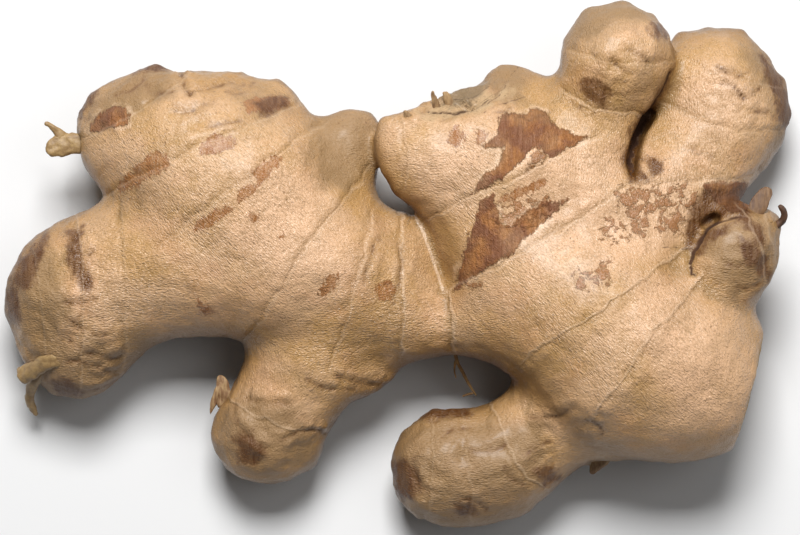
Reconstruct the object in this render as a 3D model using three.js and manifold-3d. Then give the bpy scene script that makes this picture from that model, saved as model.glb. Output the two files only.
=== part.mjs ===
// Fresh ginger rhizome, the knobbly hand that is sold as ginger root, lying on its flatter side.
// It grew as one piece: two old bodies joined at a narrow neck, with fingers, knobs and buds on them,
// ring scars where scale leaves sat, a dried stem base, a few stub roots and some papery scale remnants.
//
// Millimetres, +Z up. The origin is the middle of the footprint, on the surface that the rhizome lies on.
// +X runs along the hand from the old left body to the cut end, and +Y towards the side of the stem base.

import * as THREE from 'three';
import { mergeVertices } from 'three/addons/utils/BufferGeometryUtils.js';
import Module from 'manifold-3d';

const wasm = await Module();
wasm.setup();

// Driving dimensions
const BODY_CELL = 3.2; // grid step that the two old bodies are skinned with
const BUD_CELL = 2.85; // grid step for the smaller fingers and buds
const MELT = 1.5; // how far neighbouring limbs melt into each other
const BEAD_STEP = 0.22; // spacing of the beads along a limb, as a share of their radius
const TIP_WEIGHT = 0.6; // added to the weight of a limb's end bead, so that the tip keeps its reach
const SINK = 0.35; // how far a bud's fillet dips under the skin of the body it grows from
const RIM = 0.55; // height of a ring scar's rim
const RIM_REACH = 3.4; // how far back from the scar its rim swells
const RIM_DROP = 0.5; // how far beyond the scar its rim drops off
const STEM_RIM = 0.7; // height of the rim round the dried stem base
const STEM_DEPTH = 1.3; // depth of the hollow inside it
const LUMP = 0.5; // height of the soft unevenness of the skin
const REST_HEIGHT = 1.3; // height at which the low points are pressed flat, where the rhizome lies on them
const CUT_THROUGH = [72.2, -15.5, 18]; // a point of the flat end where it was cut from a larger rhizome
const CUT_FACING = [0.969, -0.248, 0.04]; // the way that end faces

// Limbs. Each one is a chain of stations [x, y, height of the axis, half width], and flat is its half
// height over its half width.
const limb = (flat, ...stations) => ({ flat, stations });

const LEFT_BODY = [
  // the broad old body and its blunt upper left end
  limb(
    0.86, [-27, 10.5, 18.2, 20.4], [-37.4, 19.8, 18.6, 19.3], [-47, 24.6, 18.4, 15.1],
    [-54.8, 26.6, 17.6, 10.2],
  ),
  // two shoulders on its upper edge
  limb(0.9, [-29, 19.5, 18, 15], [-26.2, 30.4, 17.4, 6]),
  limb(0.9, [-37, 25, 18, 12], [-34, 34.2, 17.6, 4.4]),
  // the left finger, which ends in two lobes
  limb(0.88, [-34, 4, 17.6, 18.5], [-50, 1.2, 16.4, 14.6], [-65.4, -5.8, 14.4, 14.1]),
  limb(0.92, [-40, 2, 16, 14], [-54, -4.6, 13.4, 10.4], [-65.6, -15.3, 12.2, 11.2]),
  // the narrowing middle, as far as the neck
  limb(0.9, [-27.4, 4.4, 18, 20.5], [-14, -0.6, 17.4, 16.6], [-4.4, -4.6, 16.6, 12.6], [1.6, -9, 16, 9.2]),
  limb(0.95, [-6, 1, 16.6, 10.4], [-0.6, 3.2, 16.6, 7.3], [3.4, -1.6, 16.2, 4.6]),
  limb(1.25, [0, -8.6, 16, 8.4], [7.6, -10.8, 15.6, 6.4], [12, -10.8, 15.6, 5.6]),
  // a short knob beside the neck of the other body
  limb(0.92, [-20, 9, 18, 12], [-13, 15, 17, 7.4], [-10.6, 25.4, 15.4, 6]),
  limb(0.92, [-10, 23, 15.8, 5], [-8, 28, 16, 2.6]),
  // the lower finger, the corner of its tip and the fold at its base
  limb(
    0.9, [-16, -10, 16, 12.4], [-18, -18.8, 14.6, 12.4], [-22.6, -26.4, 13.4, 10.3],
    [-27.8, -33.7, 12.8, 10.3],
  ),
  limb(0.9, [-24, -28, 12.6, 8.2], [-20.2, -36.8, 11.4, 3.5]),
  limb(0.8, [-12, -15.4, 14.6, 9.8], [-6.8, -19.6, 14, 6.4]),
];

const RIGHT_BODY = [
  // the broad body, from the neck to the cut end
  limb(
    0.88, [20.4, 11, 18, 16.6], [25.6, 0, 18.4, 16.4], [38, -8, 19.6, 20.2], [46, -17.6, 19.9, 20.7],
    [53.6, -19.2, 19.5, 20.2], [60, -22.6, 18.4, 16.8], [55.8, -13.4, 17.6, 9.2],
  ),
  limb(1.2, [9.6, -10.6, 15.8, 6.1], [17.6, -9.6, 16.4, 8.8], [26, -5.4, 18, 12.4]),
  limb(0.9, [42, -27, 15.6, 9.4], [41.4, -33.4, 14.8, 5.6]),
  // the knob that leans over the other body's knob
  limb(
    0.86, [1.2, 23.2, 23.8, 6.4], [5.4, 21.8, 22.2, 9.5], [13, 21, 20, 13.4], [22, 20, 18.6, 16.4],
    [34, 16, 18.2, 14.2], [46, 8, 18, 14],
  ),
  limb(0.86, [1.6, 23.6, 23.4, 5.4], [-1.4, 26.8, 23.6, 2.5]),
  // the shoulder that carries the dried stem base
  limb(0.8, [21.4, 37.4, 18, 3.4], [24, 31, 18.4, 8.4], [28.4, 27, 18.2, 10.8], [36, 20, 18, 13]),
  // the lower finger
  limb(
    0.95, [42, -22, 15.6, 14], [32, -30, 13.2, 10.4], [21.8, -39.3, 12, 11.2], [15.6, -41, 11.6, 11.7],
    [8.8, -40.6, 11.6, 11.2],
  ),
];

const TOP_BUD = [limb(0.98, [37, 22, 18.6, 11], [39.4, 30, 19.6, 8.2], [43.2, 41.8, 21.4, 11.3])];

const RIGHT_FINGER = [
  limb(0.95, [52, 11, 17, 13], [58.4, 20.4, 14.6, 12], [67.1, 30.6, 12.6, 12.5], [62.8, 35.6, 12.5, 12.2]),
  limb(0.95, [62, 36, 12.5, 9], [58.4, 41.6, 12.5, 5.2]),
  limb(0.95, [65.4, 37, 12.5, 7.6], [66.2, 42, 12.5, 4.4]),
  // a low web towards the top bud
  limb(0.95, [54, 20, 13.4, 9], [51.4, 30, 12.4, 5.4], [54, 37, 12.4, 4.4]),
];

const SIDE_BUD = [limb(0.95, [58, -6, 18.6, 8.8], [64.8, -0.4, 21.6, 8.6], [66.7, 4.4, 22.6, 9])];

// A limb's beads: spheres squashed to the limb's flatness, spaced by their own size. A bead's weight is
// its share of the limb's length, so that the skin doesn't depend on the spacing.
function beadsOf(limbs, shrink = 0) {
  const beads = [];
  for (const { flat, stations } of limbs) {
    for (let i = 1; i < stations.length; i++) {
      const [from, to] = [stations[i - 1], stations[i]];
      const length = Math.hypot(to[0] - from[0], to[1] - from[1], to[2] - from[2]);
      const count = Math.ceil(length / (BEAD_STEP * Math.min(from[3], to[3])));
      for (let n = 0; n <= count; n++) {
        const [x, y, z, r] = from.map((value, axis) => THREE.MathUtils.lerp(value, to[axis], n / count));
        beads.push({ x, y, z, r: r - shrink, flat, weight: length / (count + 1) / r });
      }
    }
    beads.at(-1).weight += TIP_WEIGHT;
  }
  return beads;
}

// Signed distance to the beads melted together, negative inside.
function meltedDistance(beads, x, y, z) {
  let sum = 0;
  for (const bead of beads) {
    const reach = Math.hypot(x - bead.x, y - bead.y, (z - bead.z) / bead.flat) - bead.r;
    if (reach < 9 * MELT) sum += bead.weight * Math.exp(-reach / MELT);
  }
  return sum > 0 ? -MELT * Math.log(sum) : 9 * MELT;
}

// Ring scars. Each one runs between two points of the outline, seen from above, and bows towards its
// finger's tip by bow. Its sheet stands upright, so the scar goes right round the limb.
const SCARS = [];

function scar(from, to, bow, height = RIM) {
  const start = new THREE.Vector2(...from);
  const along = new THREE.Vector2(...to).sub(start);
  const width = along.length();
  along.divideScalar(width);
  SCARS.push({ start, along, across: new THREE.Vector2(along.y, -along.x), width, bow, height });
}

// The two points are in the order that has the finger's tip on the right hand of the way between them.
// The old left body and its blunt end
scar([-40.8, 39.5], [-64.6, 25.1], -1.4);
scar([-20, 32.9], [-59.8, 14.1], -0.5);
scar([-15, 29.1], [-47, 4.5], 0);
scar([-5.6, 20.5], [-31.4, -16.1], 0.8);
// The left finger
scar([-55.6, 12.5], [-56, -22], -1.6, 0.4);
scar([-65.6, 11.1], [-65, -26], -2.9, 0.8);
scar([-73.6, 4.5], [-71, -23.5], -1);
// The middle and the neck
scar([-5, 11.5], [-14, -20.5], -0.6);
scar([-0.6, 13.5], [0.4, -18], -0.8, 0.8);
scar([9.8, -4.1], [11, -17], 0.4);
// The lower left finger
scar([-35.6, -24.9], [-14.8, -32.5], 2.4);
// The leaning knob and the shoulder
scar([0.4, 29.9], [0, 14.9], -1.2);
scar([39.6, 25.9], [3.6, 8.7], 0, 0.8);
scar([49, 18.5], [9.4, -4.5], -0.6, 0.8);
// The broad right body
scar([22.6, -20.1], [58.4, 4.1], -0.8, 0.9);
scar([37.6, -30.1], [60, -0.9], -0.6, 0.9);
// The lower right finger
scar([18, -26.9], [29, -44.5], 2);
scar([12.4, -28.1], [14, -52.5], -0.6);
scar([6, -30.1], [5, -51.7], -0.6);
// The top bud
scar([49, 29.9], [31.6, 35.1], -2);
scar([54.6, 41.1], [32.4, 43.5], -2);
// The upper right finger
scar([73.6, 19.1], [48, 16.5], -0.8);
scar([78.4, 27.5], [51, 33.5], -3);
scar([77, 36.5], [56, 42.5], -1.5);
// The side bud
scar([72.4, -2.1], [67, 12.9], 1);
scar([74.5, 1], [71, 14], 0.6, 0.5);

// Small corners of the skin where buds and scale leaves sat: [x, y, z, reach, height].
const CORNERS = [
  // the old left body
  [-49.2, 40.6, 18, 4.8, 2.3], [-23.6, 37.2, 17.4, 4.2, 2.2], [-62, 35, 17.6, 3.4, 0.8],
  // the upper end of the stem base
  [13, 35.4, 22, 4, 1.4],
  // the left finger
  [-69, -25, 12, 3.4, 0.9], [-68, 10.6, 14.4, 4, 1.2], [-77.6, -8.4, 14.4, 3.4, 0.6],
  // the lower right finger
  [7.4, -29.8, 12, 3.6, 0.9], [1, -45, 11.6, 3.6, 0.6], [25, -50, 11.6, 4, 0.8],
  // the top bud
  [44.6, 52.4, 21.4, 3.4, 1.1], [50.8, 49.8, 21.4, 3.2, 0.8], [37.6, 51, 21.4, 3.2, 0.7],
  [32.2, 44.6, 21, 3, 0.6],
  // the upper right finger
  [56.8, 46.2, 12.5, 3.4, 0.9], [68.6, 46.8, 12.5, 3.4, 0.6], [73.6, 41.8, 12.5, 3.2, 0.6],
  [77, 37, 12.5, 3.2, 0.8], [79, 31.4, 12.5, 3.4, 0.7],
];

function cornerHeight(x, y, z) {
  let height = 0;
  for (const [cx, cy, cz, reach, rise] of CORNERS) {
    const near = 1 - Math.hypot(x - cx, y - cy, (z - cz) / 1.4) / reach;
    if (near > 0) height += rise * near;
  }
  return height;
}

// Where a point is relative to a scar: ahead of its line, towards the tip, and how much of it is there.
function placeOn({ start, along, across, width, bow }, x, y) {
  const [dx, dy] = [x - start.x, y - start.y];
  const run = (dx * along.x + dy * along.y) / width;
  const ahead = dx * across.x + dy * across.y - bow * 4 * run * (1 - run);
  const fade = THREE.MathUtils.smoothstep(run, -0.1, 0.04) * THREE.MathUtils.smoothstep(1 - run, -0.1, 0.04);
  return { ahead, fade };
}

// Height of the ring scars' rims at a point. A rim swells slowly up to the scar and drops off beyond it.
function rimHeight(x, y) {
  let height = 0;
  for (const ring of SCARS) {
    const { ahead, fade } = placeOn(ring, x, y);
    height += ring.height * fade * Math.exp(ahead < 0 ? ahead / RIM_REACH : -ahead / RIM_DROP);
  }
  return height;
}

// The dried stem base: an oval hollow with a raised rim on the shoulder of the right body.
const STEM_BASE = {
  centre: new THREE.Vector3(13, 32, 25),
  along: new THREE.Vector3(0.93, 0.34, -0.1).normalize(),
  across: new THREE.Vector3(0.2, -0.55, 0.8).normalize(),
  halfLength: 8.4,
  halfWidth: 4.4,
};

function stemBaseHeight(x, y, z) {
  const from = new THREE.Vector3(x, y, z).sub(STEM_BASE.centre);
  if (from.lengthSq() > 200) return 0;
  const { along, across, halfLength, halfWidth } = STEM_BASE;
  const out = Math.hypot(from.dot(along) / halfLength, from.dot(across) / halfWidth);
  return STEM_RIM * Math.exp(-(((out - 1) / 0.3) ** 2)) - STEM_DEPTH * Math.max(0, 1 - out * out);
}

// Soft unevenness of a grown thing, between -LUMP and LUMP.
function lump(x, y, z) {
  const wave = Math.sin(x / 5.7 + 1.7 * Math.sin(y / 9.3)) * Math.sin(y / 4.9 + 1.3 * Math.sin(z / 6.1));
  return LUMP * (0.6 * wave + 0.4 * Math.sin(z / 4.3 + x / 8.8 - y / 11.2));
}

function reliefAt({ x, y, z }) {
  return rimHeight(x, y) + cornerHeight(x, y, z) + stemBaseHeight(x, y, z) + lump(x, y, z);
}

// Closed skin of a field, which is negative inside: one vertex for each grid cell that the skin passes
// through, and one quad for each grid edge that crosses it. The relief is raised on the evened skin.
function skinOf(field, low, high, cell) {
  const size = low.map((value, axis) => Math.ceil((high[axis] - value) / cell) + 1);
  const step = [1, size[0], size[0] * size[1]];
  const values = new Float32Array(size[0] * size[1] * size[2]);
  const at = (i, j, k) => i + j * step[1] + k * step[2];
  for (let k = 0; k < size[2]; k++)
    for (let j = 0; j < size[1]; j++)
      for (let i = 0; i < size[0]; i++)
        values[at(i, j, k)] = field(low[0] + i * cell, low[1] + j * cell, low[2] + k * cell);

  const corners = [0, 1, 2, 3, 4, 5, 6, 7].map((c) => [c & 1, (c >> 1) & 1, c >> 2]);
  const edges = [];
  for (let c = 0; c < 8; c++)
    for (let axis = 0; axis < 3; axis++) if (!corners[c][axis]) edges.push([c, c | (1 << axis)]);

  const points = [];
  const vertexOf = new Map();
  for (let k = 0; k < size[2] - 1; k++)
    for (let j = 0; j < size[1] - 1; j++)
      for (let i = 0; i < size[0] - 1; i++) {
        const found = corners.map(([a, b, c]) => values[at(i + a, j + b, k + c)]);
        const crossing = edges.filter(([a, b]) => found[a] < 0 !== found[b] < 0);
        if (!crossing.length) continue;
        const point = new THREE.Vector3(i, j, k);
        for (const [a, b] of crossing) {
          const from = new THREE.Vector3(...corners[a]);
          const share = found[a] / (found[a] - found[b]);
          point.addScaledVector(from.lerp(new THREE.Vector3(...corners[b]), share), 1 / crossing.length);
        }
        vertexOf.set(at(i, j, k), points.length);
        points.push(point.multiplyScalar(cell).add(new THREE.Vector3(...low)));
      }

  const quads = [];
  for (let k = 1; k < size[2] - 1; k++)
    for (let j = 1; j < size[1] - 1; j++)
      for (let i = 1; i < size[0] - 1; i++)
        for (let axis = 0; axis < 3; axis++) {
          const here = at(i, j, k);
          const inside = values[here] < 0;
          if (inside === values[here + step[axis]] < 0) continue;
          const [u, v] = [step[(axis + 1) % 3], step[(axis + 2) % 3]];
          const quad = [here, here - u, here - u - v, here - v].map((index) => vertexOf.get(index));
          quads.push(inside ? quad : quad.reverse());
        }

  for (let round = 0; round < 5; round++) {
    relax(points, quads);
    points.forEach((point) => settle(point, field));
  }
  const pinned = new Set(points.filter((point) => snapToScar(point, 0.36 * cell)));
  relax(points, quads, pinned);
  for (const point of points) {
    settle(point, field);
    settle(point, field);
    point.addScaledVector(slopeAt(point, field).normalize(), reliefAt(point));
  }
  return solidFrom({
    positions: points.flatMap((point) => point.toArray()),
    triangles: quads.flatMap((quad) => splitQuad(quad, points)),
  });
}

// Evens out a skin: every point moves towards the middle of its neighbours, unless it is pinned.
function relax(points, quads, pinned = new Set()) {
  const sums = points.map(() => new THREE.Vector3());
  const counts = points.map(() => 0);
  for (const quad of quads)
    quad.forEach((corner, n) => {
      const next = quad[(n + 1) % 4];
      sums[corner].add(points[next]);
      counts[corner] += 1;
    });
  points.forEach((point, n) => {
    if (!pinned.has(point)) point.lerp(sums[n].divideScalar(counts[n]), 0.6);
  });
}

// Puts a point that a scar passes close to onto its line, so that the faces fold along the rim.
function snapToScar(point, reach) {
  for (const ring of SCARS) {
    const { ahead, fade } = placeOn(ring, point.x, point.y);
    if (fade < 0.5 || Math.abs(ahead) > reach) continue;
    point.x -= ahead * ring.across.x;
    point.y -= ahead * ring.across.y;
    return true;
  }
  return false;
}

function slopeAt({ x, y, z }, field) {
  const nudge = 0.05;
  return new THREE.Vector3(
    field(x + nudge, y, z) - field(x - nudge, y, z),
    field(x, y + nudge, z) - field(x, y - nudge, z),
    field(x, y, z + nudge) - field(x, y, z - nudge),
  ).divideScalar(2 * nudge);
}

// Moves a point along the field's slope to where the skin is.
function settle(point, field) {
  const slope = slopeAt(point, field);
  const move = field(point.x, point.y, point.z) / slope.lengthSq();
  return point.addScaledVector(slope, -THREE.MathUtils.clamp(move, -1, 1));
}

// Two triangles from a quad, split along its shorter diagonal.
function splitQuad([a, b, c, d], points) {
  const shorter = points[a].distanceTo(points[c]) < points[b].distanceTo(points[d]);
  return shorter ? [a, b, c, a, c, d] : [b, c, d, b, d, a];
}

function solidFrom({ positions, triangles }) {
  return new wasm.Manifold(
    new wasm.Mesh({
      numProp: 3,
      vertProperties: new Float32Array(positions),
      triVerts: new Uint32Array(triangles),
    }),
  );
}

// Solid of some limbs. Where they grow from a body, its beads, sunk a little, give them their fillet, and
// the rest of that body is kept out by the reach of the limbs' own beads.
function grow(limbs, cell, parent = null) {
  const own = beadsOf(limbs);
  const all = parent ? [...own, ...beadsOf(parent, SINK)] : own;
  const reach = 5;
  const field = (x, y, z) => {
    const skin = meltedDistance(all, x, y, z);
    return parent ? Math.max(skin, meltedDistance(own, x, y, z) - reach) : skin;
  };
  const margin = 2 * cell + (parent ? reach : 2);
  const ends = (pick, most) => Math[most](...own.map(pick));
  const low = [ends((b) => b.x - b.r, 'min'), ends((b) => b.y - b.r, 'min'), ends((b) => b.z - b.r, 'min')];
  const high = [ends((b) => b.x + b.r, 'max'), ends((b) => b.y + b.r, 'max'), ends((b) => b.z + b.r, 'max')];
  return skinOf(field, low.map((v) => v - margin), high.map((v) => v + margin), cell);
}

// A three.js geometry as a solid.
function solidOf(geometry) {
  const bare = geometry.clone().deleteAttribute('normal').deleteAttribute('uv');
  const merged = mergeVertices(bare);
  return solidFrom({ positions: merged.attributes.position.array, triangles: merged.index.array });
}

// Closed loft through stations [x, y, z, half width, half thickness] along their own smooth curve. Its
// width lies across wide, a rough direction that is squared up to the curve at every station.
function loft(wide, ...stations) {
  const sides = 6;
  const curve = new THREE.CatmullRomCurve3(stations.map(([x, y, z]) => new THREE.Vector3(x, y, z)));
  const last = stations.length - 1;
  const positions = [];
  stations.forEach(([, , , halfWidth, halfThickness], i) => {
    const tangent = curve.getTangent(i / last);
    const thin = new THREE.Vector3(...wide).cross(tangent).normalize();
    const broad = tangent.clone().cross(thin);
    for (let n = 0; n < sides; n++) {
      const turn = (2 * Math.PI * n) / sides;
      const point = curve.points[i].clone().addScaledVector(broad, halfWidth * Math.cos(turn));
      positions.push(...point.addScaledVector(thin, halfThickness * Math.sin(turn)));
    }
  });
  const triangles = [];
  for (let i = 0; i < last; i++)
    for (let n = 0; n < sides; n++) {
      const [a, b] = [i * sides + n, i * sides + ((n + 1) % sides)];
      triangles.push(a, b + sides, b, a, a + sides, b + sides);
    }
  for (let n = 1; n < sides - 1; n++) {
    triangles.push(0, n, n + 1);
    triangles.push(last * sides, last * sides + n + 1, last * sides + n);
  }
  return solidFrom({ positions, triangles });
}

// What is left of the roots and of the papery scale leaves. Each is rooted well inside the rhizome.
function remnants() {
  const [upright, lengthways, crossways] = [[0, 0, 1], [1, 0, 0], [0, 1, 0]];
  return [
    // two fleshy stub roots on the left finger
    loft(
      crossways, [-64, -16.4, 20, 2.2, 1.3], [-69, -18.4, 21, 2.3, 1.4], [-73, -20.4, 17.4, 1.9, 1.3],
      [-76.6, -21.8, 14.4, 1.6, 1],
    ),
    loft(
      upright, [-70.4, -19.6, 18, 1.5, 1.3], [-74, -23.4, 13, 1.2, 1.1], [-74.8, -26.8, 9.6, 0.9, 0.8],
      [-74, -29.8, 7.6, 0.5, 0.5],
    ),
    // a curled one at its upper left end
    loft(
      crossways, [-60, 24.6, 18.6, 2, 1], [-66.4, 24.8, 18.6, 2, 0.8], [-69.6, 23.6, 19, 1.6, 0.6],
      [-70.6, 22.8, 19.4, 1, 0.5],
    ),
    loft(
      crossways, [-67, 25.4, 18.6, 1.2, 0.6], [-68.6, 27, 19, 0.8, 0.5], [-71, 28.8, 19.6, 0.5, 0.4],
    ),
    // a papery scale on the lower left finger
    loft(
      lengthways, [-36.6, -21.6, 15, 0.8, 0.5], [-35.6, -24.6, 14.6, 1.9, 0.4], [-36, -27, 14, 2, 0.4],
      [-38.2, -29.8, 14, 0.4, 0.35],
    ),
    // a papery spur under the broad right body
    loft(lengthways, [43, -32, 16, 2.2, 0.6], [40.4, -38, 13, 1.6, 0.5], [38.5, -41.2, 11.4, 0.5, 0.4]),
    // two dark curls on the side bud
    loft(lengthways, [70, 9, 26, 2, 0.6], [72.4, 13.6, 25.6, 1.7, 0.5], [73.8, 15.4, 25.4, 1, 0.4]),
    loft(
      upright, [72, 6.6, 24.6, 1.3, 1.1], [75, 8.8, 25.2, 1.2, 1], [76, 10.6, 25.8, 1, 0.8],
      [74.8, 12.2, 26.6, 0.7, 0.6],
    ),
    // torn fibres of the dried stem base
    loft(upright, [8.4, 26, 22, 1.4, 0.8], [7, 32.6, 24.4, 1, 0.6], [6.2, 34.8, 25.4, 0.4, 0.35]),
    loft(upright, [11, 27, 21, 1.4, 0.8], [9.8, 33.6, 23.6, 1.1, 0.6], [8.8, 35.6, 24.4, 0.4, 0.35]),
    loft(upright, [3.4, 23, 25, 1.4, 0.8], [1.8, 29, 26, 1, 0.6], [0.8, 31, 26.6, 0.4, 0.35]),
    // a thin rootlet at the neck, with a side branch
    loft(
      upright, [10.6, -13, 15, 0.6, 0.6], [11.4, -19, 12.6, 0.38, 0.38], [13, -21.8, 11, 0.36, 0.36],
      [15.6, -26.2, 9, 0.3, 0.3],
    ),
    loft(
      upright, [15, -25.4, 9.4, 0.32, 0.32], [13.6, -25.8, 8.6, 0.3, 0.3], [12.6, -26.2, 8, 0.3, 0.3],
    ),
  ];
}

// Folds where a bud has grown hard against its neighbour.
function crevices() {
  const upright = [0, 0, 1];
  return [
    // round the upper left of the side bud
    loft(
      upright, [70.6, 13.6, 22.6, 3, 0.5], [67.2, 11.8, 23, 4, 0.8], [63, 10.4, 24.4, 4, 0.9],
      [59.4, 8, 26, 3.6, 0.9], [57.4, 4, 27, 3, 0.9], [57, -1.4, 27.6, 1.6, 0.6],
    ),
    // between the top bud and the right finger
    loft(
      upright, [51.6, 32.6, 20, 4, 0.5], [49, 29, 21, 6, 1], [47, 25, 24, 5.4, 1.3],
      [46, 21, 26, 4, 1.3], [46.4, 16.6, 28.6, 1.6, 0.6],
    ),
  ];
}

// A big block whose face lies on a plane, to cut away all that is beyond it.
function beyond(through, facing) {
  const block = new THREE.BoxGeometry(400, 400, 400).translate(0, 0, 200);
  const way = new THREE.Vector3(...facing).normalize();
  const turn = new THREE.Quaternion().setFromUnitVectors(new THREE.Vector3(0, 0, 1), way);
  return solidOf(block.applyQuaternion(turn).translate(...through));
}

function rhizome() {
  const add = (whole, piece) => whole.add(piece);
  const cut = (whole, piece) => whole.subtract(piece);
  const buds = [TOP_BUD, RIGHT_FINGER, SIDE_BUD].map((limbs) => grow(limbs, BUD_CELL, RIGHT_BODY));
  const right = grow(RIGHT_BODY, BODY_CELL).subtract(beyond(CUT_THROUGH, CUT_FACING));
  const whole = crevices().reduce(cut, [grow(LEFT_BODY, BODY_CELL), ...buds].reduce(add, right));
  return remnants().reduce(add, whole).subtract(beyond([0, 0, REST_HEIGHT], [0, 0, -1]));
}

function geometryOf(solid) {
  const { vertProperties, triVerts } = solid.getMesh();
  const geometry = new THREE.BufferGeometry();
  geometry.setAttribute('position', new THREE.BufferAttribute(vertProperties, 3));
  geometry.setIndex(new THREE.BufferAttribute(triVerts, 1));
  geometry.computeVertexNormals();
  geometry.computeBoundingBox();
  return geometry;
}

const skin = new THREE.MeshStandardMaterial({ color: 0xc49a66, roughness: 0.62, metalness: 0 });
const shape = geometryOf(rhizome());
const middle = shape.boundingBox.getCenter(new THREE.Vector3());
shape.translate(-middle.x, -middle.y, -shape.boundingBox.min.z);
const root = new THREE.Mesh(shape, skin);
root.name = 'ginger_root';

const hand = new THREE.Group();
hand.add(root);

export default hand;
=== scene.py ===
"""Fresh ginger root, one hand of it, lying on a pale floor: skin, roots, dried scales, light and camera.

Lengths in the tables below are millimetres in the rhizome's own plan: x right and y up in the photo,
and z up from the floor. PLAN_MIDDLE is where the middle of the footprint lies in that plan.
"""
import math

import bmesh
import bpy
import numpy as np
from bpy.props import FloatProperty, FloatVectorProperty, IntProperty, PointerProperty
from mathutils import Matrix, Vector, noise


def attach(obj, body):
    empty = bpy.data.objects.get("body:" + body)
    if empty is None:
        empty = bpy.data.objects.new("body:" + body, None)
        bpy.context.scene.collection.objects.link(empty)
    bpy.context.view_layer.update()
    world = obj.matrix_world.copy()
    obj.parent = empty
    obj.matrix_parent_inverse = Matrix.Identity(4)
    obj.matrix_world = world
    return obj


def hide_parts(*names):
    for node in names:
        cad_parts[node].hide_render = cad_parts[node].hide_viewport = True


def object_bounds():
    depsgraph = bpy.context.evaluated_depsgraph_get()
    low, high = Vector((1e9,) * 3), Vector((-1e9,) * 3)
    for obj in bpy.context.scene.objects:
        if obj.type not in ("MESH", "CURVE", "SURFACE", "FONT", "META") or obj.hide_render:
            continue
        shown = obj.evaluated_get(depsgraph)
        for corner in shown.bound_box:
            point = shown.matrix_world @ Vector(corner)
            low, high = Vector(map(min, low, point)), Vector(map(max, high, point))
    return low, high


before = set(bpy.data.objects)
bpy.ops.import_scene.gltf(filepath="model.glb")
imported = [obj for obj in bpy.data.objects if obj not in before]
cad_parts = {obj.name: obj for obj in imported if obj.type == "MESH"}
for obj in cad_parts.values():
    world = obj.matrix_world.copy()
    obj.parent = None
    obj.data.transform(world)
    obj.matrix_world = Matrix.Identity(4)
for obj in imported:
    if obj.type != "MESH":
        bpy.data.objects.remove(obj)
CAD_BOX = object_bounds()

bl_info = {
    "name": "Ginger root",
    "version": (1, 0, 0),
    "blender": (4, 5, 0),
    "location": "View3D > Sidebar > Ginger",
    "description": "Builds one hand of fresh ginger and a plain studio for it",
    "category": "Object",
}

MM = 0.001
PLAN_MIDDLE = np.array([-0.2464, 0.1853, 1.3])

# Ring scars, as in the solid: start, end, how far the middle bows towards the tip, how strong it looks.
# The tip lies on the right hand of the way from start to end.
SCARS = [
    # the old left body and its blunt end
    ((-40.8, 39.5), (-64.6, 25.1), -1.4, 0.4),
    ((-20, 32.9), (-59.8, 14.1), -0.5, 0.35),
    ((-15, 29.1), (-47, 4.5), 0, 0.35),
    ((-5.6, 20.5), (-31.4, -16.1), 0.8, 0.4),
    # the left finger
    ((-55.6, 12.5), (-56, -22), -1.6, 0.3),
    ((-65.6, 11.1), (-65, -26), -2.9, 0.4),
    ((-73.6, 4.5), (-71, -23.5), -1, 0.25),
    # the middle and the neck
    ((-5, 11.5), (-14, -20.5), -0.6, 0.5),
    ((-0.6, 13.5), (0.4, -18), -0.8, 0.8),
    ((9.8, -4.1), (11, -17), 0.4, 0.8),
    # the lower left finger
    ((-35.6, -24.9), (-14.8, -32.5), 2.4, 0.5),
    # the leaning knob and the shoulder
    ((0.4, 29.9), (0, 14.9), -1.2, 0.4),
    ((39.6, 25.9), (3.6, 8.7), 0, 0.6),
    ((49, 18.5), (9.4, -4.5), -0.6, 0.6),
    # the broad right body
    ((22.6, -20.1), (58.4, 4.1), -0.8, 0.6),
    ((37.6, -30.1), (60, -0.9), -0.6, 0.55),
    # the lower right finger
    ((18, -26.9), (29, -44.5), 2, 0.6),
    ((12.4, -28.1), (14, -52.5), -0.6, 0.25),
    ((6, -30.1), (5, -51.7), -0.6, 0.25),
    # the top bud
    ((49, 29.9), (31.6, 35.1), -2, 0.5),
    ((54.6, 41.1), (32.4, 43.5), -2, 0.3),
    # the upper right finger
    ((73.6, 19.1), (48, 16.5), -0.8, 0.4),
    ((78.4, 27.5), (51, 33.5), -3, 0.25),
    ((77, 36.5), (56, 42.5), -1.5, 0.25),
    # the side bud
    ((72.4, -2.1), (67, 12.9), 1, 0.5),
    ((74.5, 1), (71, 14), 0.6, 0.4),
]

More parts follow.
